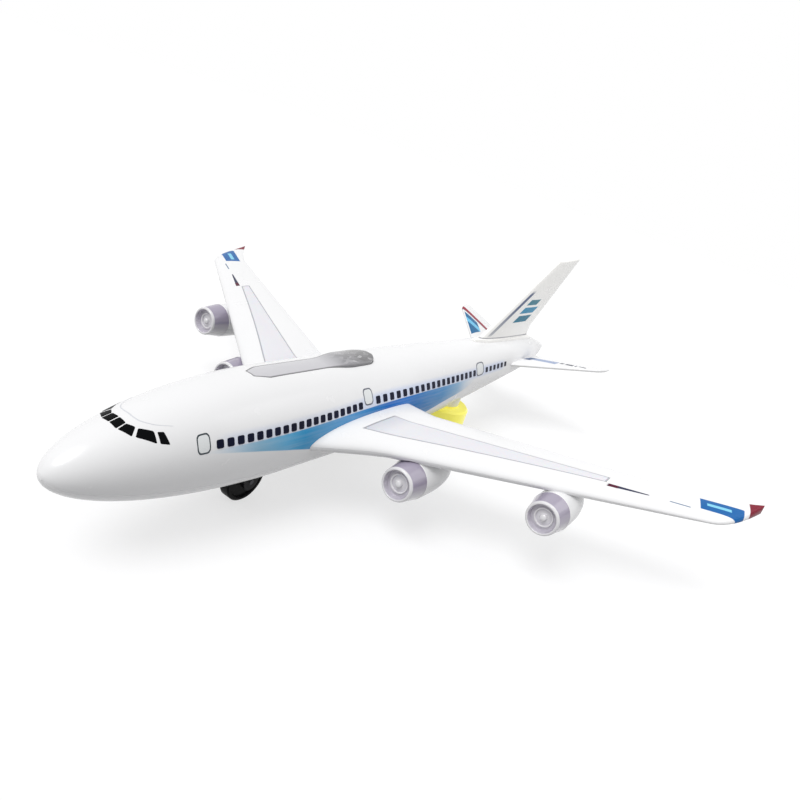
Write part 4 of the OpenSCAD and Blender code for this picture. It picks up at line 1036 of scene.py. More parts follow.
def stand(name: str, data: bpy.types.ID) -> Piece:
    """Puts a mesh, a lamp or a camera into the scene as an object.

    Args:
        name: the object's name.
        data: what it shows.

    Returns:
        The object, at the origin.
    """
    made = bpy.data.objects.new(name, data)
    bpy.context.scene.collection.objects.link(made)
    return made


def discard(piece: Piece) -> None:
    """Removes a piece with its mesh.

    Args:
        piece: the piece to remove.
    """
    mesh = piece.data
    bpy.data.objects.remove(piece)
    bpy.data.meshes.remove(mesh)


def smooth(piece: Piece, crease: float = CREASE) -> None:
    """Shades a piece smooth up to a crease angle in degrees."""
    piece.data.polygons.foreach_set("use_smooth", [True] * len(piece.data.polygons))
    piece.data.set_sharp_from_angle(angle=math.radians(crease))


def settle(piece: Piece) -> None:
    """Turns a piece's modifiers into its plain mesh and removes them.

    Args:
        piece: the piece to change.
    """
    graph = bpy.context.evaluated_depsgraph_get()
    mesh = bpy.data.meshes.new_from_object(piece.evaluated_get(graph))
    piece.modifiers.clear()
    old, piece.data = piece.data, mesh
    bpy.data.meshes.remove(old)


def carve(piece: Piece, tool: Piece, joined: bool = False) -> None:
    """Cuts a tool out of a piece, or joins it, and removes the tool.

    Args:
        piece: the piece to change.
        tool: a closed mesh.
        joined: joins the tool instead of cutting it out.
    """
    change = piece.modifiers.new("carve", "BOOLEAN")
    change.object = tool
    change.operation = "UNION" if joined else "DIFFERENCE"
    change.solver = "EXACT"
    change.use_self = False
    settle(piece)
    discard(tool)
    smooth(piece)


def merge(piece: Piece, extra: Piece) -> None:
    """Moves the faces of one piece into another and removes it.

    Args:
        piece: the piece that takes the faces.
        extra: the piece that gives them.
    """
    work = bmesh.new()
    work.from_mesh(piece.data)
    work.from_mesh(extra.data)
    work.to_mesh(piece.data)
    work.free()
    discard(extra)
    smooth(piece)


def fit(piece: Piece, finish: Shop, slot: str, *nodes: str) -> None:
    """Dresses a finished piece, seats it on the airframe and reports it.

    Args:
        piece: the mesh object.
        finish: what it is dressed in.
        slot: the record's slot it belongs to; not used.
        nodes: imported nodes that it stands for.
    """
    finish.dress(piece)
    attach(piece, BODY)
    if nodes:
        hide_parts(*nodes)
    LOG.info("%s: %d faces on %s", piece.name, len(piece.data.polygons), BODY)


class PaneField:
    """Rounded panes set on points by Geometry Nodes, each facing the way that its point says."""

    def __init__(self, name: str) -> None:
        """Starts a tree with its geometry sockets and named sizes, and wires it.

        Args:
            name: the tree's name.
        """
        self.tree = bpy.data.node_groups.new(name, "GeometryNodeTree")
        self.graph = Graph(self.tree)
        self.keys: dict[str, str] = {}
        for way in ("INPUT", "OUTPUT"):
            self.socket("Geometry", "NodeSocketGeometry", way)
        for size in ("Width", "Height", "Corner", "Thickness"):
            self.keys[size] = self.socket(size, "NodeSocketFloat")
        self.keys["Finish"] = self.socket("Finish", "NodeSocketMaterial")
        given = self.graph.add("NodeGroupInput").outputs
        self.scatter(given, self.pane(given))

    def socket(self, name: str, kind: str, way: str = "INPUT") -> str:
        """Adds a socket to the tree and gives its identifier."""
        made = self.tree.interface.new_socket(name, in_out=way, socket_type=kind)
        return made.identifier

    def pane(self, given: bpy.types.NodeOutputs) -> Socket:
        """Wires one pane: a filleted rectangle, filled and raised.

        Args:
            given: outputs of the tree's input node.

        Returns:
            Geometry of the pane, standing along Z with its length along X.
        """
        g = self.graph
        sides = {"Width": given["Width"], "Height": given["Height"]}
        frame = g.add("GeometryNodeCurvePrimitiveQuadrilateral", sides)
        corners = {"Curve": frame.outputs[0], "Count": 4, "Radius": given["Corner"]}
        loop = g.add("GeometryNodeFilletCurve", corners, mode="POLY")
        flat = g.add("GeometryNodeFillCurve", {"Curve": loop.outputs[0]}, mode="NGONS").outputs[0]
        lift = {"Mesh": flat, "Offset Scale": given["Thickness"]}
        raised = g.add("GeometryNodeExtrudeMesh", lift)
        under = g.add("GeometryNodeFlipFaces", {"Mesh": flat})
        whole = g.add("GeometryNodeJoinGeometry")
        for part in (under, raised):
            self.tree.links.new(part.outputs[0], whole.inputs[0])
        closed = {"Geometry": whole.outputs[0], "Distance": 1e-6}
        return g.add("GeometryNodeMergeByDistance", closed).outputs[0]

    def scatter(self, given: bpy.types.NodeOutputs, shape: Socket) -> None:
        """Sets a shape on every point, makes it real and gives it its finish.

        Args:
            given: outputs of the tree's input node.
            shape: geometry of one copy, standing along Z with its length along X.
        """
        g = self.graph
        facing, along = (
            g.add("GeometryNodeInputNamedAttribute", {"Name": key}, data_type="FLOAT_VECTOR")
            for key in ("facing", "along")
        )
        out = g.add("FunctionNodeAlignRotationToVector", {"Vector": facing.outputs[0]}, axis="Z")
        turned = {"Rotation": out.outputs[0], "Vector": along.outputs[0]}
        turn = g.add("FunctionNodeAlignRotationToVector", turned, axis="X", pivot_axis="Z")
        spread = {"Points": given["Geometry"], "Instance": shape, "Rotation": turn.outputs[0]}
        copies = g.add("GeometryNodeInstanceOnPoints", spread)
        real = g.add("GeometryNodeRealizeInstances", {0: copies.outputs[0]})
        dressed = {"Geometry": real.outputs[0], "Material": given["Finish"]}
        done = g.add("GeometryNodeSetMaterial", dressed)
        g.add("NodeGroupOutput", {0: done.outputs[0]})

    def grow(self, name: str, spots: list[tuple[Vector, Vector, Vector]], sizes: dict) -> Piece:
        """Runs the tree on points.

        Args:
            name: the piece's name.
            spots: place, facing and lengthwise direction of each copy, in millimetres.
            sizes: values of the named inputs.

        Returns:
            The plain mesh piece.
        """
        mesh = bpy.data.meshes.new(name)
        mesh.from_pydata([s[0] * MM for s in spots], [], [])
        for key, place in (("facing", 1), ("along", 2)):
            layer = mesh.attributes.new(key, "FLOAT_VECTOR", "POINT")
            layer.data.foreach_set("vector", [c for s in spots for c in s[place]])
        made = stand(name, mesh)
        change = made.modifiers.new("field", "NODES")
        change.node_group = self.tree
        for key, value in sizes.items():
            change[self.keys[key]] = value
        settle(made)
        smooth(made, 30.0)
        return made


@dataclass
class Fuselage:
    """Body shells, roof light, everything printed on them and the brow line painted as shade."""

    nose: float = 215.0
    nose_len: float = 100.0
    nose_power: float = 0.52
    nose_flat: float = 0.15
    nose_drop: float = 2.4
    nose_wall: float = 4.4
    taper: float = 30.0
    taper_power: float = 1.15
    tail: float = -160.0
    tail_rad: float = 12.0
    tail_rise: float = 7.9
    tail_wall: float = 4.0
    end: float = -202.0
    end_rad: float = 2.5
    end_power: float = 1.3
    end_rise: float = 0.5
    rad: float = 23.7
    axis: float = 39.4
    wall: float = 2.0
    seam: float = 30.0
    groove: float = 0.26
    groove_width: float = 0.22
    gap: float = 0.2
    roof_front: float = 131.0
    roof_rear: float = 48.0
    roof_half: float = 5.1
    roof_point: float = 0.45
    roof_point_len: float = 7.0
    roof_round: float = 9.0
    roof_thick: float = 1.2
    roof_frame: float = 1.5
    roof_cut: float = 4.0
    blister_half: float = 7.2
    blister_start: float = 88.0
    blister_full: float = 68.0
    blister_rise: float = 1.2
    battery_bay: tuple[Point, Point] = ((29.65, -15.2, 5.0), (96.35, 15.2, 27.5))
    fork_slot: tuple[Point, Point] = ((105.3, -5.6, 5.0), (131.3, 5.6, 27.5))
    switch_slot: tuple[Point, Point] = ((11.1, -1.5, 5.0), (18.9, 1.5, 22.0))
    pod: Point = (-58.0, 0.0, 0.0)
    pod_bore: float = 6.2
    pod_bore_top: float = 39.0
    socket_rad: float = 11.0
    socket_foot: float = 21.2
    socket_bevel: float = 0.4
    socket_rise: float = 2.2
    speaker_x: float = 152.0
    speaker_ring: float = 4.5
    speaker_hole: float = 0.9
    speaker_top: float = 21.7
    wells: tuple[Spot, ...] = ((178.0, 0.0), (5.0, 8.0), (5.0, -8.0), (-100.0, 0.0))
    well: float = 2.5
    post: float = 3.4
    post_gap: float = 0.1
    pilot: float = 1.4
    seat: float = 4.5
    windows: tuple = (
        ("front_windows", 160.0, 76.0, 19, 3.1, 3.3),
        ("middle_windows", 61.5, -48.5, 19, 3.5, 3.7),
        ("rear_windows", -68.0, -101.0, 6, 3.6, 3.2),
    )
    window_corner: float = 0.7
    window_thick: float = 0.22
    window_sink: float = 0.12
    panes: tuple = (
        ((193.3, 89.3), (189.5, 89.1), (189.5, 76.6), (193.3, 74.4)),
        ((193.0, 72.6), (189.6, 75.2), (187.8, 66.2), (190.4, 55.7)),
        ((189.4, 53.4), (187.3, 63.2), (183.1, 53.8), (183.4, 38.6)),
        ((182.1, 51.6), (180.0, 49.6), (179.1, 34.1), (182.3, 37.6)),
    )
    # Line of the cockpit brow, drawn as a faint grey strip that paints the shade under a ledge.
    brow: tuple[Spot, ...] = (
        (186.3, 90.0), (186.2, 80.0), (185.1, 70.4), (181.6, 60.2), (176.2, 52.8),
    )
    brow_across: tuple[float, ...] = (-0.22, -0.07, 0.07, 0.22)
    brow_lift: float = 0.06
    cabin_doors: tuple = (
        ("front_door", 169.4, 164.0, 15.8, 37.2, Shop.ink_dark),
        ("middle_door", 72.8, 65.6, 24.0, 43.5, Shop.ink_grey),
        ("rear_door", -51.8, -63.2, 13.0, 38.5, Shop.ink_grey),
    )
    door_frame: float = 0.84
    panel_lift: float = 0.03
    print_lift: float = 0.05
    print_sink: float = -0.15

    def r(self, x: float) -> float:
        """Outside radius at a station.

        Args:
            x: the station.

        Returns:
            The radius.
        """
        start = self.nose - self.nose_len
        if x > start:
            share = (min(x, self.nose - self.nose_flat) - start) / self.nose_len
            return self.rad * max(0.0, 1 - share ** 2) ** self.nose_power
        if x > self.tail:
            share = ramp(x, self.taper, self.tail) ** self.taper_power
            return mix(self.rad, self.tail_rad, share)
        return mix(self.tail_rad, self.end_rad, ramp(x, self.tail, self.end) ** self.end_power)

    def z(self, x: float) -> float:
        """Height of the axis at a station.

        Args:
            x: the station.

        Returns:
            The height.
        """
        drop = self.nose_drop * ramp(x, self.nose - self.nose_len, self.nose) ** 2
        rise = self.tail_rise * ramp(x, self.taper, self.tail)
        return self.axis - drop + rise + self.end_rise * ramp(x, self.tail, self.end)

    def skin_z(self, x: float, y: float, side: int = 1, depth: float = 0.0) -> float:
        """Height of the skin above or below the axis, at a depth under it."""
        return self.z(x) + side * leg(self.r(x) - depth, y)

    def on_skin(self, x: float, deg: float, lift: float = 0.0) -> Point:
        """Point of the skin at a station and an angle from port towards the top."""
        r = self.r(x) + lift
        return (x, r * cosd(deg), self.z(x) + r * sind(deg))

    def normal(self, x: float, deg: float) -> Vector:
        """Outward direction of the skin.

        Args:
            x: the station.
            deg: angle from port towards the top.

        Returns:
            The unit vector.
        """
        a, b = Vector(self.on_skin(x + 0.5, deg)), Vector(self.on_skin(x - 0.5, deg))
        c, d = Vector(self.on_skin(x, deg + 0.5)), Vector(self.on_skin(x, deg - 0.5))
        return (a - b).cross(c - d).normalized()

    def stations(self) -> list[float]:
        """Stations from the nose to the tail, close where the body curves.

        Returns:
            The stations.
        """
        nose = [self.nose - self.nose_len * (1 - cosd(90 * i / 40)) for i in range(2, 41)]
        return [
            self.nose,
            *nose,
            *steps(self.nose - self.nose_len, self.taper, 5),
            *steps(self.taper, self.tail, 26),
            *steps(self.tail, self.end, 10),
        ]

    def shell(self, name: str, start: float, stop: float) -> Piece:
        """Makes one shell between two angles, with its seam edges broken.

        Args:
            name: the piece's name.
            start: first angle in degrees.
            stop: last angle in degrees.

        Returns:
            The closed shell.
        """
        between = steps(start, stop, round((stop - start) / 3))[:-1]
        length = self.nose - self.end
        share = (length - self.tail_wall - self.nose_wall) / length

        def ring(x: float, depth: float, edge: float) -> list[Point]:
            """Points round the shell.

            Args:
                x: the station.
                depth: how far inside the skin they lie.
                edge: how far both seam edges are lowered.

            Returns:
                The points, from one seam to the other.
            """
            r, z = self.r(x) - depth, self.z(x)
            step = math.degrees(self.groove_width / max(1.0, r))
            angles = [start, start + step, *between, stop - step, stop]
            radii = [r - edge, *[r] * (len(angles) - 2), r - edge]
            return [(x, q * cosd(a), z + q * sind(a)) for q, a in zip(radii, angles)]

        outer = [ring(x, 0.0, self.groove) for x in self.stations()]
        first = self.end + self.tail_wall
        inner = [
            ring(first + (x - self.end) * share, self.wall, 0.0) for x in self.stations()
        ]
        return Solid().skin(outer, inner, capped=True).piece(name)

    def blister(self, x: float) -> float:
        """Share of the roof light's blister at a station."""
        t = ramp(x, self.blister_start, self.blister_full)
        return t * t * (3 - 2 * t)

    def roof_w(self, x: float) -> float:
        """Half width of the roof light.

        Args:
            x: the station.

        Returns:
            The half width, drawn in at the pointed front and the round rear.
        """
        tip, back = self.roof_front, self.roof_rear
        front = mix(self.roof_point, 1.0, ramp(x, tip, tip - self.roof_point_len))
        rear = math.sqrt(max(0.08, 1 - (1 - ramp(x, back, back + self.roof_round)) ** 2))
        return mix(self.roof_half, self.blister_half, self.blister(x)) * front * rear

    def roof_grid(self, grow: float, rise: float, blister: float) -> Grid:
        """Rows of points on the roof light.

        Args:
            grow: how far the outline grows.
            rise: height over the skin.
            blister: share of the blister's height that is added.

        Returns:
            The rows, from the front to the rear.
        """
        side = [0.13 * j for j in range(7)] + [0.85, 0.93, 1.0]
        across = [-v for v in reversed(side[1:])] + side
        rows, count = [], 90
        for i in range(count + 1):
            u = i / count
            x = mix(self.roof_front, self.roof_rear, u)
            w = max(0.8, self.roof_w(x) + grow)
            top = rise + blister * self.blister_rise * self.blister(x)
            end = x + grow * (1 - 2 * u)
            rows.append([(end, w * v, self.skin_z(x, w * v) + top) for v in across])
        return rows

    def roof_slab(self, grow: float, top: float, low: float, blister: float) -> Solid:
        """Slab of the roof light's outline between two heights over the skin."""
        return Solid().skin(self.roof_grid(grow, top, blister), self.roof_grid(grow, low, 0.0))

    def roof_rim(self, p: Point) -> float:
        """Tone 1 on the roof light's outline and 0 inside it."""
        inside = self.roof_rear + 0.3 < p[0] < self.roof_front - 0.3
        return 0.0 if inside and abs(p[1]) < 0.9 * self.roof_w(p[0]) else 1.0

    def build(self) -> None:
        """Makes both shells, the roof light and the prints."""
        upper = self.shell("body_upper_shell", -self.seam, 180 + self.seam)
        cut = self.roof_cut
        rebate = self.roof_slab(self.gap, cut, -self.roof_thick - self.gap, 1.0)
        carve(upper, rebate.piece("roof_rebate"))
        carve(upper, self.roof_slab(-self.roof_frame, cut, -cut, 0.0).piece("roof_opening"))
        fit(upper, Shop.body_print, "white_shell", "fuselage_upper_shell")
        lower = self.shell("body_lower_shell", 180 + self.seam, 360 - self.seam)
        self.open_belly(lower)
        self.add_posts(lower)
        fit(lower, Shop.body_print, "white_shell", "fuselage_lower_shell")
        cover = self.roof_slab(0.0, 0.0, -self.roof_thick, 1.0).tint(self.roof_rim)
        roof = cover.piece("roof_light_cover", 50.0)
        fit(roof, Shop.smoke_window, "smoke_window", "roof_light_window")
        self.cabin()
        self.cockpit()
        self.doors()

    def seam_z(self, x: float) -> float:
        """Height of the seam at a station."""
        return self.z(x) - self.r(x) * sind(self.seam)

    def open_belly(self, lower: Piece) -> None:
        """Cuts the belly's openings.

        Args:
            lower: the lower shell.
        """
        cut = Solid()
        for low, high in (self.battery_bay, self.fork_slot, self.switch_slot):
            cut.block(low, high)
        cut.rod(self.pod_bore, self.pod_bore_top, self.pod, "z", 48)
        r = self.speaker_ring
        for x, y in ((0.0, 0.0), *((r * cosd(60 * a), r * sind(60 * a)) for a in range(1, 7))):
            at = (self.speaker_x + x, y, 0.0)
            cut.rod(self.speaker_hole, self.speaker_top, at, "z", 16)
        for x, y in self.wells:
            cut.rod(self.well, self.seam_z(x) - self.seat, (x, y, 0.0), "z", 32)
        carve(lower, cut.piece("belly_openings"))

    def add_posts(self, lower: Piece) -> None:
        """Adds the screw posts and the pod's socket.

        Args:
            lower: the lower shell.
        """
        posts = Solid()
        for x, y in self.wells:
            seam, seat = self.seam_z(x) - self.post_gap, self.seam_z(x) - self.seat
            foot = self.skin_z(x, abs(y) + self.post, -1, self.wall / 2)
            if foot < seat - 0.2:
                profile = [
                    (self.post, foot), (self.post, seam), (self.pilot, seam),
                    (self.pilot, seat), (self.well, seat), (self.well, foot),
                ]
                posts.lathe(profile, (x, y, 0.0), "z", 32)
        top = self.skin_z(self.pod[0], 0.0, -1, self.wall) + self.socket_rise
        bore, rad, foot, bevel = self.pod_bore, self.socket_rad, self.socket_foot, self.socket_bevel
        socket = [(bore, foot), (rad - bevel, foot), (rad, foot + bevel), (rad, top), (bore, top)]
        posts.lathe(socket, self.pod, "z", 64)
        merge(lower, posts.piece("belly_posts"))

    def row_z(self, x: float) -> float:
        """Height of the window row at a station.

        Args:
            x: the station.

        Returns:
            The height.
        """
        for (a, p), (b, q) in zip(WINDOW_ROW, WINDOW_ROW[1:]):
            if x >= b:
                return mix(p, q, (a - x) / (a - b))
        return WINDOW_ROW[-1][1]

    def cabin(self) -> None:
        """Sets the cabin windows in three rows on both sides."""
        panes = PaneField("rounded_panes")
        forward = Vector((1, 0, 0))
        for name, first, last, count, wide, tall in self.windows:
            spots = []
            for i in range(count):
                x = mix(first, last, i / (count - 1))
                deg = math.degrees(math.asin((self.row_z(x) - self.z(x)) / self.r(x)))
                for side in (deg, 180 - deg):
                    out = self.normal(x, side)
                    place = Vector(self.on_skin(x, side)) - self.window_sink * out
                    spots.append((place, out, forward))
            sizes = {
                "Width": wide * MM,
                "Height": tall * MM,
                "Corner": self.window_corner * MM,
                "Thickness": self.window_thick * MM,
                "Finish": Shop.ink_navy.value.material(),
            }
            fit(panes.grow(name, spots, sizes), Shop.ink_navy, "black_plastic")

    def pad(self, solid: Solid, outline: Line, lift: float, hole: float = 0.0) -> None:
        """Adds a thin pad that follows the skin inside an outline.

        Args:
            solid: where it is added.
            outline: stations and angles round it.
            lift: height of its face over the skin.
            hole: share of the outline left open in the middle, 0 for none.
        """
        shares = [1.0, *steps(1.0, hole, 5)]
        shapes = [self.shrunk(outline, s) for s in shares]
        top, under = (
            [[self.on_skin(x, a, height) for x, a in shape] for shape in shapes]
            for height in (lift, self.print_sink)
        )
        solid.skin(top, under, looped=True)

    def shrunk(self, outline: Line, share: float) -> Line:
        """Outline drawn in towards its middle.

        Args:
            outline: stations and angles round it.
            share: size that is left.

        Returns:
            The smaller outline.
        """
        cx, ca = (sum(p[i] for p in outline) / len(outline) for i in (0, 1))
        return [(mix(cx, x, share), mix(ca, a, share)) for x, a in outline]

    def rounded(self, corners: Line, rounds: int, keep: float) -> Line:
        """Outline with its corners cut round.

        Args:
            corners: stations and angles of the corners.
            rounds: how often every corner is cut.
            keep: share of an edge that each cut takes at both ends.

        Returns:
            The rounder outline.
        """
        line = corners
        for _ in range(rounds):
            line = [
                (mix(x, p, t), mix(a, b, t))
                for (x, a), (p, b) in zip(line, [*line[1:], line[0]]) for t in (keep, 1 - keep)
            ]
        return line

    def closer(self, line: Line, parts: int) -> Line:
        """Outline with every edge split into equal parts.

        Args:
            line: stations and angles round it.
            parts: how many parts each edge is split into.

        Returns:
            The outline with more points.
        """
        ends = zip(line, [*line[1:], line[0]])
        shares = [i / parts for i in range(parts)]
        return [(mix(x, p, t), mix(a, b, t)) for (x, a), (p, b) in ends for t in shares]

    def mirrored(self, line: Line) -> Line:
        """The same line on the starboard side."""
        return [(x, 180 - a) for x, a in line]

    def cockpit(self) -> None:
        """Lays the cockpit panes on both sides and, over them, a faint grey brow line painted as the
        shade under a ledge.
        """
        solid = Solid()
        for pane in self.panes:
            shape = self.closer(self.rounded(list(pane), 2, 0.07), 9)
            self.pad(solid, shape, self.print_lift)
            self.pad(solid, self.mirrored(shape), self.print_lift)
        fit(solid.piece("cockpit_panes"), Shop.ink_black, "black_plastic")
        # Brow line: a grey strip painted as shade under a ledge.
        half = [self.along(self.brow, i / 24) for i in range(25)]
        whole = self.mirrored(half[::-1]) + half[1:]
        top, under = (
            [[self.on_skin(x + w, a, lift) for w in self.brow_across] for x, a in whole]
            for lift in (self.brow_lift, self.print_sink)
        )
        fit(Solid().skin(top, under).piece("brow_shade_line"), Shop.brow_shade, "white_shell")

    def along(self, line: tuple[Spot, ...], t: float) -> Spot:
        """Point along a smooth line.

        Args:
            line: stations and angles that the line runs through.
            t: share of the way along it.

        Returns:
            The station and the angle.
        """
        n = len(line) - 1
        i = min(n - 1, int(t * n))
        u = t * n - i
        a, b, c, d = (line[max(0, min(n, i + k))] for k in (-1, 0, 1, 2))
        return tuple(
            0.5 * (
                2 * q + (r - p) * u + (2 * p - 5 * q + 4 * r - s) * u * u
                + (3 * q - p - 3 * r + s) * u ** 3
            )
            for p, q, r, s in zip(a, b, c, d)
        )

    def doors(self) -> None:
        """Lays three cabin doors on each side: a dark outline and a pale panel."""
        for name, x0, x1, a0, a1, ink in self.cabin_doors:
            frames, panels = Solid(), Solid()
            outer = self.rounded([(x0, a0), (x0, a1), (x1, a1), (x1, a0)], 3, 0.17)
            for shape in (outer, self.mirrored(outer)):
                self.pad(frames, shape, self.print_lift, self.door_frame)
                self.pad(panels, self.shrunk(shape, self.door_frame), self.panel_lift)
            fit(frames.piece(f"{name}_outlines"), ink, "black_plastic")
            fit(panels.piece(f"{name}_panels"), Shop.ink_pale, "white_shell")


@dataclass(frozen=True)
class Engine:
    """Place of one engine: its distance out, and its rim's lead and drop from the wing's front."""

    name: str
    out: float
    ahead: float
    drop: float


@dataclass
class Wing:
    """Both wings: upper and lower halves, nacelles, light bars and engine lenses."""

    body: Fuselage
    root: float = 20.2
    tip: float = 189.7
    front_x: float = 98.5
    front_sweep: float = 36.0
    front_rake: float = 28.5
    front_rake_len: float = 18.0
    strake: float = 13.0
    strake_end: float = 45.0
    rear_x: float = 32.5
    rear_sweep: float = 25.8
    rear_kink: float = 38.0
    rear_rake: float = 12.5
    rear_rake_len: float = 28.0
    height: float = 45.5
    dihedral: float = 2.0
    incidence: float = 3.6
    droop: Spot = (2.9, 0.9)
    upper_thick: float = 5.0
    lower_thick: float = 6.0
    tip_thick: float = 1.6
    rear_lip: float = 0.8
    parting: float = 0.06
    seat: float = 0.05
    wall: float = 1.6
    edge: float = 3.84
    hollow: Spot = (25.7, 169.7)
    bar_y: Spot = (30.0, 124.0)
    bar_front: Spot = (0.185, 0.4)
    bar_rear: Spot = (0.6, 0.58)
    bar_edge: float = 0.45
    bar_gap: float = 0.2
    bar_frame: float = 1.4
    bar_thick: float = 1.0
    bar_seat: float = 1.2
    bar_cut: Spot = (4.0, -6.4)
    bar_rim_width: float = 0.5
    # Painted reflection: the light bar darkens a little towards its root.
    bar_root_reflection: float = 0.55
    bar_root_reflection_reach: Spot = (1.0, 9.0)
    nacelle: float = 9.6
    nacelle_len: float = 32.0
    nacelle_bore: tuple[Spot, ...] = ((0.0, 5.0), (6.6, 5.0), (6.6, 3.2), (8.1, 3.2), (8.1, 0.0))
    nacelle_edge: float = 0.12
    notch_gap: float = 0.1
    lens_len: float = 11.0
    lens_profile: tuple[Spot, ...] = (
        (0.0, 1.2), (0.7, 1.25), (1.19, 1.4), (1.52, 1.65), (1.7, 2.0), (1.7, 3.2), (3.73, 3.2),
        (3.85, 2.6), (4.0, 2.42), (4.46, 2.42), (4.61, 2.6), (4.73, 3.2), (6.2, 3.2), (6.45, 1.5),
        (6.65, 0.35), (6.85, 0.08), (7.1, 0.0), (7.4, 0.06), (7.64, 0.2), (7.86, 0.5), (8.0, 0.9),
        (8.015, 1.0), (8.089, 1.5), (8.906, 7.0), (9.5, 11.0), (8.0, 11.0), (8.0, 14.0),
        (6.5, 14.0), (5.3, 5.0), (0.0, 5.0),
    )
    turn: int = 80
    engines: tuple[Engine, ...] = (
        Engine("inner", 55.3, 8.3, 11.2), Engine("outer", 111.7, 14.8, 10.5),
    )

    def line(self, y: float) -> float:
        """Straight front line."""
        return self.front_x - tand(self.front_sweep) * (y - self.body.rad)

    def front(self, y: float) -> float:
        """Front edge, with the strake at the root and the raked tip.

        Args:
            y: distance from the middle.

        Returns:
            The station of the edge.
        """
        rake = ramp(y, self.tip - self.front_rake_len, self.tip) ** 2.2
        strake = (1 - ramp(y, self.root, self.strake_end)) ** 1.3
        return self.line(y) + self.strake * strake - self.front_rake * rake

    def rear(self, y: float) -> float:
        """Rear edge, straight at the root and raked at the tip.

        Args:
            y: distance from the middle.

        Returns:
            The station of the edge.
        """
        rake = ramp(y, self.tip - self.rear_rake_len, self.tip) ** 1.5
        sweep = tand(self.rear_sweep) * max(0.0, y - self.rear_kink)
        return self.rear_x - sweep - self.rear_rake * rake

    def share(self, x: float, y: float) -> float:
        """Share of the chord at a place, from 0 in front to 1 behind."""
        return (self.front(y) - x) / (self.front(y) - self.rear(y))

    def chord_z(self, x: float, y: float, s: float) -> float:
        """Height of the parting plane at a share of the chord."""
        rise = tand(self.dihedral) * y - tand(self.incidence) * x
        return self.height + rise - mix(*self.droop, s)

    def parting_z(self, x: float, y: float, side: int) -> float:
        """Height of one half's parting face at a place."""
        gap = self.parting if side < 0 else 0.0
        return self.chord_z(x, y, self.share(x, y)) - gap

    def thick(self, y: float, root: float) -> float:
        """Height of one half at a distance from the middle."""
        return mix(self.tip_thick, root, (1 - ramp(y, self.body.rad, self.tip)) ** 0.9)

    def point(self, y: float, a: float, side: int, inset: float = 0.0, thin: float = 0.0) -> Point:
        """Point of one half's skin.

        Args:
            y: distance from the middle.
            a: angle along the section, 0 in front and 180 behind.
            side: 1 for the upper half, -1 for the lower.
            inset: how far the front and rear edges draw in.
            thin: how far the half is thinned.

        Returns:
            The point.
        """
        s = chord(a)
        x = mix(self.front(y) - inset, self.rear(y) + inset, s)
        t = max(0.3, self.thick(y, self.upper_thick if side > 0 else self.lower_thick) - thin)
        return (x, y, self.parting_z(x, y, side) + side * (t * bulge(a) + self.rear_lip * s ** 3))

    def root_y(self, a: float, side: int) -> float:
        """Distance from the middle at which the skin meets the body.

        Args:
            a: angle along the section.
            side: 1 for the upper half, -1 for the lower.

        Returns:
            The distance.
        """
        y = 23.0
        for _ in range(12):
            y = leg(self.body.rad + self.seat, self.point(y, a, side)[2] - self.body.axis)
        return y

    def half(self, name: str, side: int, hand: int) -> Piece:
        """Makes the upper or lower half of one wing.

        Args:
            name: the piece's name.
            side: 1 for the upper half, -1 for the lower.
            hand: 1 for port, -1 for starboard.

        Returns:
            The closed half.
        """
        angles = [5.0 * i for i in range(37)]
        roots = [self.root_y(a, side) for a in angles]
        outer, inner = [], []
        count = 48
        for i in range(count + 1):
            t = sind(90 * i / count)
            row = [self.point(mix(r, self.tip, t), a, side) for r, a in zip(roots, angles)]
            y = row[-1][1]
            end = (self.rear(y), y, self.parting_z(self.rear(y), y, side))
            outer.append([(x, hand * y, z) for x, y, z in (*row, end)])
            y = mix(*self.hollow, t)
            row = [self.point(y, a, side, self.edge, self.wall) for a in angles]
            end = (row[-1][0], y, self.parting_z(row[-1][0], y, side))
            inner.append([(x, hand * y, z) for x, y, z in (*row, end)])
        return Solid().skin(outer, inner, capped=True).piece(name)

    def top_z(self, x: float, y: float) -> float:
        """Height of the wing's top.

        Args:
            x: the station.
            y: distance from the middle.

        Returns:
            The height.
        """
        s = self.share(x, y)
        swell = self.thick(y, self.upper_thick) * bulge(acosd(1 - 2 * s))
        return self.chord_z(x, y, s) + swell + self.rear_lip * s ** 3

    def bar_edges(self, y: float, grow: float = 0.0) -> Spot:
        """Front and rear edge of the light bar's outline.

        Args:
            y: distance from the middle.
            grow: how far the outline grows.

        Returns:
            The stations of both edges.
        """
        low, high = self.bar_y
        w = (y - low) / (high - low)
        front = self.line(y)
        c = front - self.rear(y)
        return front - c * mix(*self.bar_front, w) + grow, front - c * mix(*self.bar_rear, w) - grow

    def bar(self, hand: int, grow: float, top: float, low: float) -> Solid:
        """Makes a slab of the light bar's outline.

        Args:
            hand: 1 for port, -1 for starboard.
            grow: how far the outline grows.
            top: upper face over the wing's top.
            low: lower face over the wing's top.

        Returns:
            The closed slab.
        """
        rim = self.bar_edge
        first_y, last_y = self.bar_y[0] - grow, self.bar_y[1] + grow
        middle = [mix(first_y + 0.8, last_y - 0.8, i / 40) for i in range(41)]
        places = []
        for y in (first_y, first_y + rim, *middle, last_y - rim, last_y):
            first, last = self.bar_edges(y, grow)
            e = rim / (first - last)
            inside = [mix(1.8 * e, 1 - 1.8 * e, k / 8) for k in range(9)]
            places.append([(mix(first, last, v), y) for v in (0.0, e, *inside, 1 - e, 1.0)])
        grids = (
            [[(x, hand * y, self.top_z(x, y) + rise) for x, y in row] for row in places]
            for rise in (top, low)
        )
        return Solid().skin(*grids)

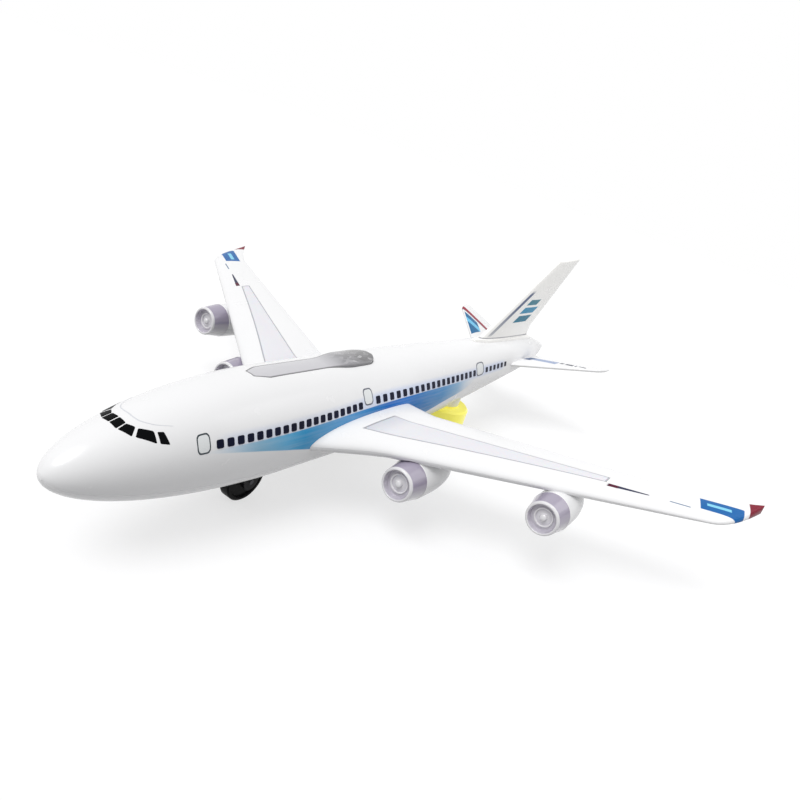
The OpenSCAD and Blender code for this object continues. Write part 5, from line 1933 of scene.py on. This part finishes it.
    def bar_rim_and_reflection(self, p: Point) -> float:
        """Tone of the light bar.

        Args:
            p: a point of the bar.

        Returns:
            1 on its outline, a little by its root as a painted reflection, and 0 elsewhere.
        """
        y = abs(p[1])
        low, high = self.bar_y
        first, last = self.bar_edges(y)
        if min(first - p[0], p[0] - last, y - low, high - y) < self.bar_rim_width:
            return 1.0
        # Painted reflection darkening the bar towards its root.
        start, stop = self.bar_root_reflection_reach
        return self.bar_root_reflection * (1 - ramp(y, low + start, low + stop))

    def engine_at(self, engine: Engine, hand: int) -> Point:
        """Middle of an engine's lens rim."""
        x, y = self.line(engine.out), engine.out
        return (x + engine.ahead, hand * y, self.chord_z(x, y, 0.0) - engine.drop)

    def nacelles(self, hand: int) -> Solid:
        """White nacelles of one wing, bored for their lenses.

        Args:
            hand: 1 for port, -1 for starboard.

        Returns:
            The closed solids.
        """
        r, length = self.nacelle, self.nacelle_len
        rim = [(r - self.nacelle_edge, 0.0), (r, self.nacelle_edge)]
        tail = [
            (r * cosd(72 * i / 24), mix(length * 0.3, length, sind(90 * i / 24))) for i in range(25)
        ]
        solid = Solid()
        for engine in self.engines:
            x, y, z = self.engine_at(engine, hand)
            at = (x - self.lens_len, y, z)
            profile = [*self.nacelle_bore, *rim, *tail, (0.0, length)]
            solid.lathe(profile, at, "x", self.turn)
        return solid

    def notches(self, hand: int) -> Solid:
        """Room for the lenses of one wing.

        Args:
            hand: 1 for port, -1 for starboard.

        Returns:
            The closed solids.
        """
        solid = Solid()
        for engine in self.engines:
            at = self.engine_at(engine, hand)
            solid.rod(self.nacelle + self.notch_gap, self.lens_len, at, "x", self.turn)
        return solid

    def lens(self, engine: Engine, hand: int) -> Solid:
        """Clear engine front with its lip, ring and boss.

        Args:
            engine: where it stands.
            hand: 1 for port, -1 for starboard.

        Returns:
            The closed solid, toned.
        """
        at = self.engine_at(engine, hand)

        def tone(p: Point) -> float:
            """Tone of a point of the lens.

            Args:
                p: the point.

            Returns:
                The barrel's tone by how far down it lies, painted as a reflection that is dark on
                top and pale below; that of the lip and the boss, painted highlights; that of the
                inside and the recess, painted shade; or that of the ring.
            """
            # Painted light: the barrel dark on top and pale below, highlights on the lip and boss,
            # shade inside.
            r, h = math.hypot(p[1] - at[1], p[2] - at[2]), at[0] - p[0]
            if r > 7.9 and h > 1.2:
                return 0.95 * ramp(acosd((p[2] - at[2]) / max(r, 0.01)), 78.0, 118.0)
            if r > 6.7 and h < 1.2:
                return 1.0
            if h > 4.0:
                return 0.3
            if r > 6.1:
                return 0.45
            return 1.0 if r < 1.8 or h < 2.8 else 0.6

        return Solid().lathe(list(self.lens_profile), at, "x", self.turn).tint(tone)

    def build(self) -> None:
        """Makes every piece of both wings."""
        over, under = self.bar_cut
        for side_name, hand in (("left", 1), ("right", -1)):
            upper = self.half(f"{side_name}_wing_top", 1, hand)
            carve(upper, self.bar(hand, self.bar_gap, over, -self.bar_seat).piece("bar_rebate"))
            carve(upper, self.bar(hand, -self.bar_frame, over, under).piece("bar_opening"))
            fit(upper, Shop.tip_print, "white_shell", f"{side_name}_wing_upper_shell")
            lower = self.half(f"{side_name}_wing_underside", -1, hand)
            carve(lower, self.nacelles(hand).piece("nacelles"), joined=True)
            carve(lower, self.notches(hand).piece("lens_notch"))
            fit(lower, Shop.belly_print, "white_shell", f"{side_name}_wing_lower_shell")
            cover = self.bar(hand, 0.0, 0.0, -self.bar_thick).tint(self.bar_rim_and_reflection)
            bar = cover.piece(f"{side_name}_light_bar", 40.0)
            fit(bar, Shop.frosted_bar, "frosted_bar", f"{side_name}_wing_light_bar")
            for engine in self.engines:
                lens = self.lens(engine, hand).piece(f"{side_name}_{engine.name}_lens", 38.0)
                fit(lens, Shop.clear_lens, "clear_lens", f"{side_name}_{engine.name}_engine_lens")


@dataclass
class Tail:
    """Fin on its foot, and both tailplanes."""

    body: Fuselage
    fin_front: float = -78.0
    fin_sweep: float = 59.3
    fin_rear: float = -162.0
    fin_rear_sweep: float = 45.0
    fin_rear_step: float = 8.0
    fin_tip: float = 120.9
    fin_tip_drop: float = 2.8
    fin_half: float = 2.5
    fin_edge: float = 0.35
    foot_lift: float = 0.7
    foot_half: float = 4.2
    foot_lead: float = 6.0
    foot_bevel: float = 0.35
    foot_faces: Spot = (1.4, 0.1)
    plane_front: float = -113.0
    plane_sweep: float = 51.0
    plane_rear: float = -168.0
    plane_rear_sweep: float = 18.0
    plane_tip: float = 62.8
    plane_start: float = 5.0
    plane_rise: float = 1.7
    plane_dihedral: float = 12.0
    plane_half: float = 2.0
    plane_edge: float = 0.3
    seat: float = 0.05
    section: tuple[float, ...] = tuple(7.5 * j for j in range(25))

    def foot_z(self, x: float) -> float:
        """Height at which the fin stands over the body."""
        return self.body.skin_z(x, 0.0) + self.foot_lift

    def crown(self, share: float, start: float) -> float:
        """Share of the thickness that is left towards a round tip."""
        return mix(0.4, 1.0, leg(1.0, ramp(share, start, 1.0)))

    def fin(self) -> Piece:
        """Makes the fin and its foot.

        Returns:
            The closed piece.
        """
        sides: tuple[Grid, Grid] = ([], [])
        f0, r0 = self.foot_z(self.fin_front), self.foot_z(self.fin_rear)
        low = [0.0, 0.04, 0.08, 0.11, 0.13, 0.15, 0.18]
        middle = [0.18 + 0.04 * i for i in range(1, 20)]
        for w in (*low, *middle, 0.97, 0.985, 0.995, 1.0):
            zf, zr = mix(f0, self.fin_tip - self.fin_tip_drop, w), mix(r0, self.fin_tip, w)
            xf = self.fin_front - (zf - f0) * tand(self.fin_sweep)
            xr = self.fin_rear - max(0.0, zr - r0 - self.fin_rear_step) * tand(self.fin_rear_sweep)
            crown, half = self.crown(w, 0.97), self.fin_half * mix(1, 0.45, w)
            for grid, side in zip(sides, (1, -1)):
                grid.append([
                    (
                        mix(xf, xr, chord(a)),
                        side * crown * (self.fin_edge + half * bulge(a)),
                        mix(zf, zr, chord(a)),
                    )
                    for a in self.section
                ])
        return Solid().skin(*sides).skin(*self.foot()).piece("tail_fin_smooth", 40.0)

    def foot(self) -> tuple[Grid, Grid]:
        """Upper and lower face of the fin's foot, which follows the body.

        Returns:
            Both grids, from the front to the rear.
        """
        faces: tuple[Grid, Grid] = ([], [])
        count = 36
        for i in range(count + 1):
            x = mix(self.fin_front + self.foot_lead, self.fin_rear, i / count)
            w = self.foot_half * mix(0.35, 1.0, min(1.0, i / 6))
            for grid, rise, bevel in zip(faces, self.foot_faces, (self.foot_bevel, 0.0)):
                ys = [(w - bevel) * (j / 6 - 1) for j in range(13)]
                grid.append([(x, y, self.body.skin_z(x, y) + rise) for y in ys])
        return faces

    def plane_point(self, w: float, a: float, side: int, root: float) -> Point:
        """Point of the tailplane's skin.

        Args:
            w: share of the way from root to tip.
            a: angle along the section.
            side: 1 above, -1 below.
            root: distance from the middle at the root.

        Returns:
            The point on the port plane.
        """
        y = mix(root, self.plane_tip, w)
        share = (y - self.plane_start) / (self.plane_tip - self.plane_start)
        rake = 3 * ramp(share, 0.92, 1.0) ** 2
        out = y - self.body.r(self.plane_front)
        front = self.plane_front - tand(self.plane_sweep) * out - 2 * rake
        rear = self.plane_rear - tand(self.plane_rear_sweep) * (y - self.plane_start) + rake / 3
        middle = self.body.z(self.plane_front) + self.plane_rise + tand(self.plane_dihedral) * out
        half = self.plane_edge + self.plane_half * mix(1, 0.5, share) * bulge(a)
        return (mix(front, rear, chord(a)), y, middle + side * self.crown(share, 0.95) * half)

    def plane_root(self, a: float, side: int) -> float:
        """Distance from the middle at which the tailplane meets the body.

        Args:
            a: angle along the section.
            side: 1 above, -1 below.

        Returns:
            The distance.
        """
        y = 14.0
        for _ in range(25):
            x, _, z = self.plane_point(0.0, a, side, y)
            y = mix(y, leg(self.body.r(x) + self.seat, z - self.body.z(x)), 0.6)
        return y

    def plane(self, name: str, hand: int) -> Piece:
        """Makes one tailplane, its root fitted to the body.

        Args:
            name: the piece's name.
            hand: 1 for port, -1 for starboard.

        Returns:
            The closed plane.
        """
        shares = [*(0.92 * i / 20 for i in range(20)), 0.92, 0.94, 0.955, 0.97, 0.98, 0.99, 1.0]
        grids: list[Grid] = []
        for side in (1, -1):
            roots = [(a, self.plane_root(a, side)) for a in self.section]
            rows = [[self.plane_point(w, a, side, root) for a, root in roots] for w in shares]
            grids.append([[(x, hand * y, z) for x, y, z in row] for row in rows])
        return Solid().skin(*grids).piece(name, 40.0)

    def build(self) -> None:
        """Makes the tail's pieces."""
        fit(self.fin(), Shop.fin_print, "white_shell", "tail_fin")
        for side, hand in (("left", 1), ("right", -1)):
            plane = self.plane(f"{side}_tailplane_smooth", hand)
            fit(plane, Shop.tail_print, "white_shell", f"{side}_tailplane")


@dataclass
class RunningGear:
    """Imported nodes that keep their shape: gear, drive, power and electrics, with their finishes."""

    nodes: dict[str, Piece]

    def finishes(self) -> dict[Shop, tuple[str, ...]]:
        """Nodes that each finish dresses.

        Returns:
            The names of the nodes, by finish.
        """
        return {
            Shop.black_plastic: (
                "nose_gear_fork", "gearbox_base", "switch_knob", "speaker", "battery_case",
            ),
            Shop.black_wheel: ("nose_wheel",),
            Shop.tyre_rubber: ("driven_tyre", "free_tyre"),
            Shop.yellow_plastic: (
                "drive_pod_housing", "drive_pod_base", "driven_wheel", "free_wheel",
            ),
            Shop.gear_nylon: (
                "crown_gear", "shaft_gear", "shaft_pinion", "idler_gear", "gearbox_cover",
                "drive_pod_retainer",
            ),
            Shop.steel: (
                "pod_screws", "drive_axle", "drive_shaft", "idler_pin", "motor", "motor_shaft",
                "gearbox_screws", "battery_contacts", "battery_door_screw", "case_screws",
                "switch_body",
            ),
            Shop.dark_steel: ("nose_axle",),
            Shop.brass: ("motor_pinion",),
            Shop.cell_jacket: ("battery_cells",),
            Shop.board: (
                "circuit_board", "roof_light_board", "left_wing_light_board",
                "right_wing_light_board",
            ),
            Shop.lamp_clear: ("engine_leds",),
            Shop.white_shell: ("battery_door",),
        }

    def build(self) -> None:
        """Dresses the nodes."""
        for finish, names in self.finishes().items():
            for name in names:
                finish.dress(self.nodes[name])
            LOG.info("%s on %s", finish.name, ", ".join(names))


@dataclass
class Studio:
    """Camera, floor and soft light."""

    eye: Point = (334.449, 170.817, 167.742)
    yaw: float = 116.957
    pitch: float = 20.104
    roll: float = 19.266
    focal: float = 699.386
    picture: float = 800.0
    sensor: float = 36.0
    floor_half: float = 6.0
    paper: Quad = (0.36, 0.36, 0.365, 1.0)
    paper_glow: float = 0.655
    sky: float = 0.53
    sun: float = 1.95
    sun_width: float = 36.0
    sun_from: Point = (0.7, -0.12, 1.0)
    fill: float = 0.3
    fill_size: float = 0.3
    fill_at: Point = (-190.0, 260.0, 300.0)
    fill_from: Point = (-50.0, 260.0, 225.0)

    def camera(self) -> None:
        """Places the camera at the photograph's view."""
        level = cosd(self.pitch)
        back = Vector((sind(self.yaw) * level, -cosd(self.yaw) * level, sind(self.pitch)))
        side = Vector((cosd(self.yaw), sind(self.yaw), 0.0))
        up = back.cross(side)
        right = cosd(self.roll) * side + sind(self.roll) * up
        top = -sind(self.roll) * side + cosd(self.roll) * up
        lens = bpy.data.cameras.new("view")
        lens.sensor_width, lens.lens = self.sensor, self.focal * self.sensor / self.picture
        lens.clip_start, lens.clip_end = 0.01, 50.0
        made = stand("view", lens)
        made.matrix_world = Matrix((right, top, back)).transposed().to_4x4()
        made.location = Vector(self.eye) * MM
        bpy.context.scene.camera = made

    def seen(self, graph: Graph) -> Socket:
        """Share that is 1 for what is seen directly, in a reflection or through a clear piece.

        Args:
            graph: nodes of a material or the world.

        Returns:
            The share socket.
        """
        path = graph.add("ShaderNodeLightPath").outputs
        either = graph.math("MAXIMUM", path["Is Camera Ray"], path["Is Glossy Ray"])
        return graph.math("MAXIMUM", either, path["Is Transmission Ray"])

    def floor(self) -> None:
        """Lays a pale floor that keeps the shadow and reads white in the open."""
        h = self.floor_half
        mesh = bpy.data.meshes.new("floor")
        mesh.from_pydata([(-h, -h, 0), (h, -h, 0), (h, h, 0), (-h, h, 0)], [], [[0, 1, 2, 3]])
        made = stand("floor", mesh)
        surface = bpy.data.materials.new("floor_paper")
        graph = blank(surface)
        paper = graph.add("ShaderNodeBsdfDiffuse", {"Color": self.paper})
        strength = graph.times(self.seen(graph), self.paper_glow)
        glow = graph.add("ShaderNodeEmission", {"Strength": strength})
        both = graph.add("ShaderNodeAddShader", {0: paper.outputs[0], 1: glow.outputs[0]})
        graph.add("ShaderNodeOutputMaterial", {0: both.outputs[0]})
        mesh.materials.append(surface)

    def light(self) -> None:
        """Sets an even sky, a wide soft overhead lamp and a small fill by the tail."""
        world = bpy.data.worlds.new("studio")
        bpy.context.scene.world = world
        graph = blank(world)
        strength = graph.span(self.seen(graph), 0.0, 1.0, self.sky, 1.0)
        white = (1.0, 1.0, 1.0, 1.0)
        sky = graph.add("ShaderNodeBackground", {"Color": white, "Strength": strength})
        graph.add("ShaderNodeOutputWorld", {0: sky.outputs[0]})
        sun = bpy.data.lights.new("overhead", "SUN")
        sun.energy, sun.angle = self.sun, math.radians(self.sun_width)
        self.aim(stand("overhead", sun), self.sun_from)
        fill = bpy.data.lights.new("tail_fill", "AREA")
        fill.energy, fill.size = self.fill, self.fill_size
        panel = stand("tail_fill", fill)
        panel.location = Vector(self.fill_at) * MM
        self.aim(panel, self.fill_from)

    def aim(self, lamp: Piece, source: Point) -> None:
        """Turns a lamp so that its light comes from a direction."""
        lamp.rotation_euler = Vector(source).to_track_quat("Z", "Y").to_euler()

    def build(self) -> None:
        """Sets up the studio."""
        bpy.context.scene.view_settings.view_transform = "Standard"
        self.camera()
        self.floor()
        self.light()


def main() -> None:
    """Builds the toy in order."""
    logging.basicConfig(level=logging.INFO, format="%(message)s")
    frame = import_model()
    Studio().build()
    body = Fuselage()
    body.build()
    Wing(body).build()
    Tail(body).build()
    RunningGear(frame["nodes"]).build()


if __name__ == "__main__":
    main()
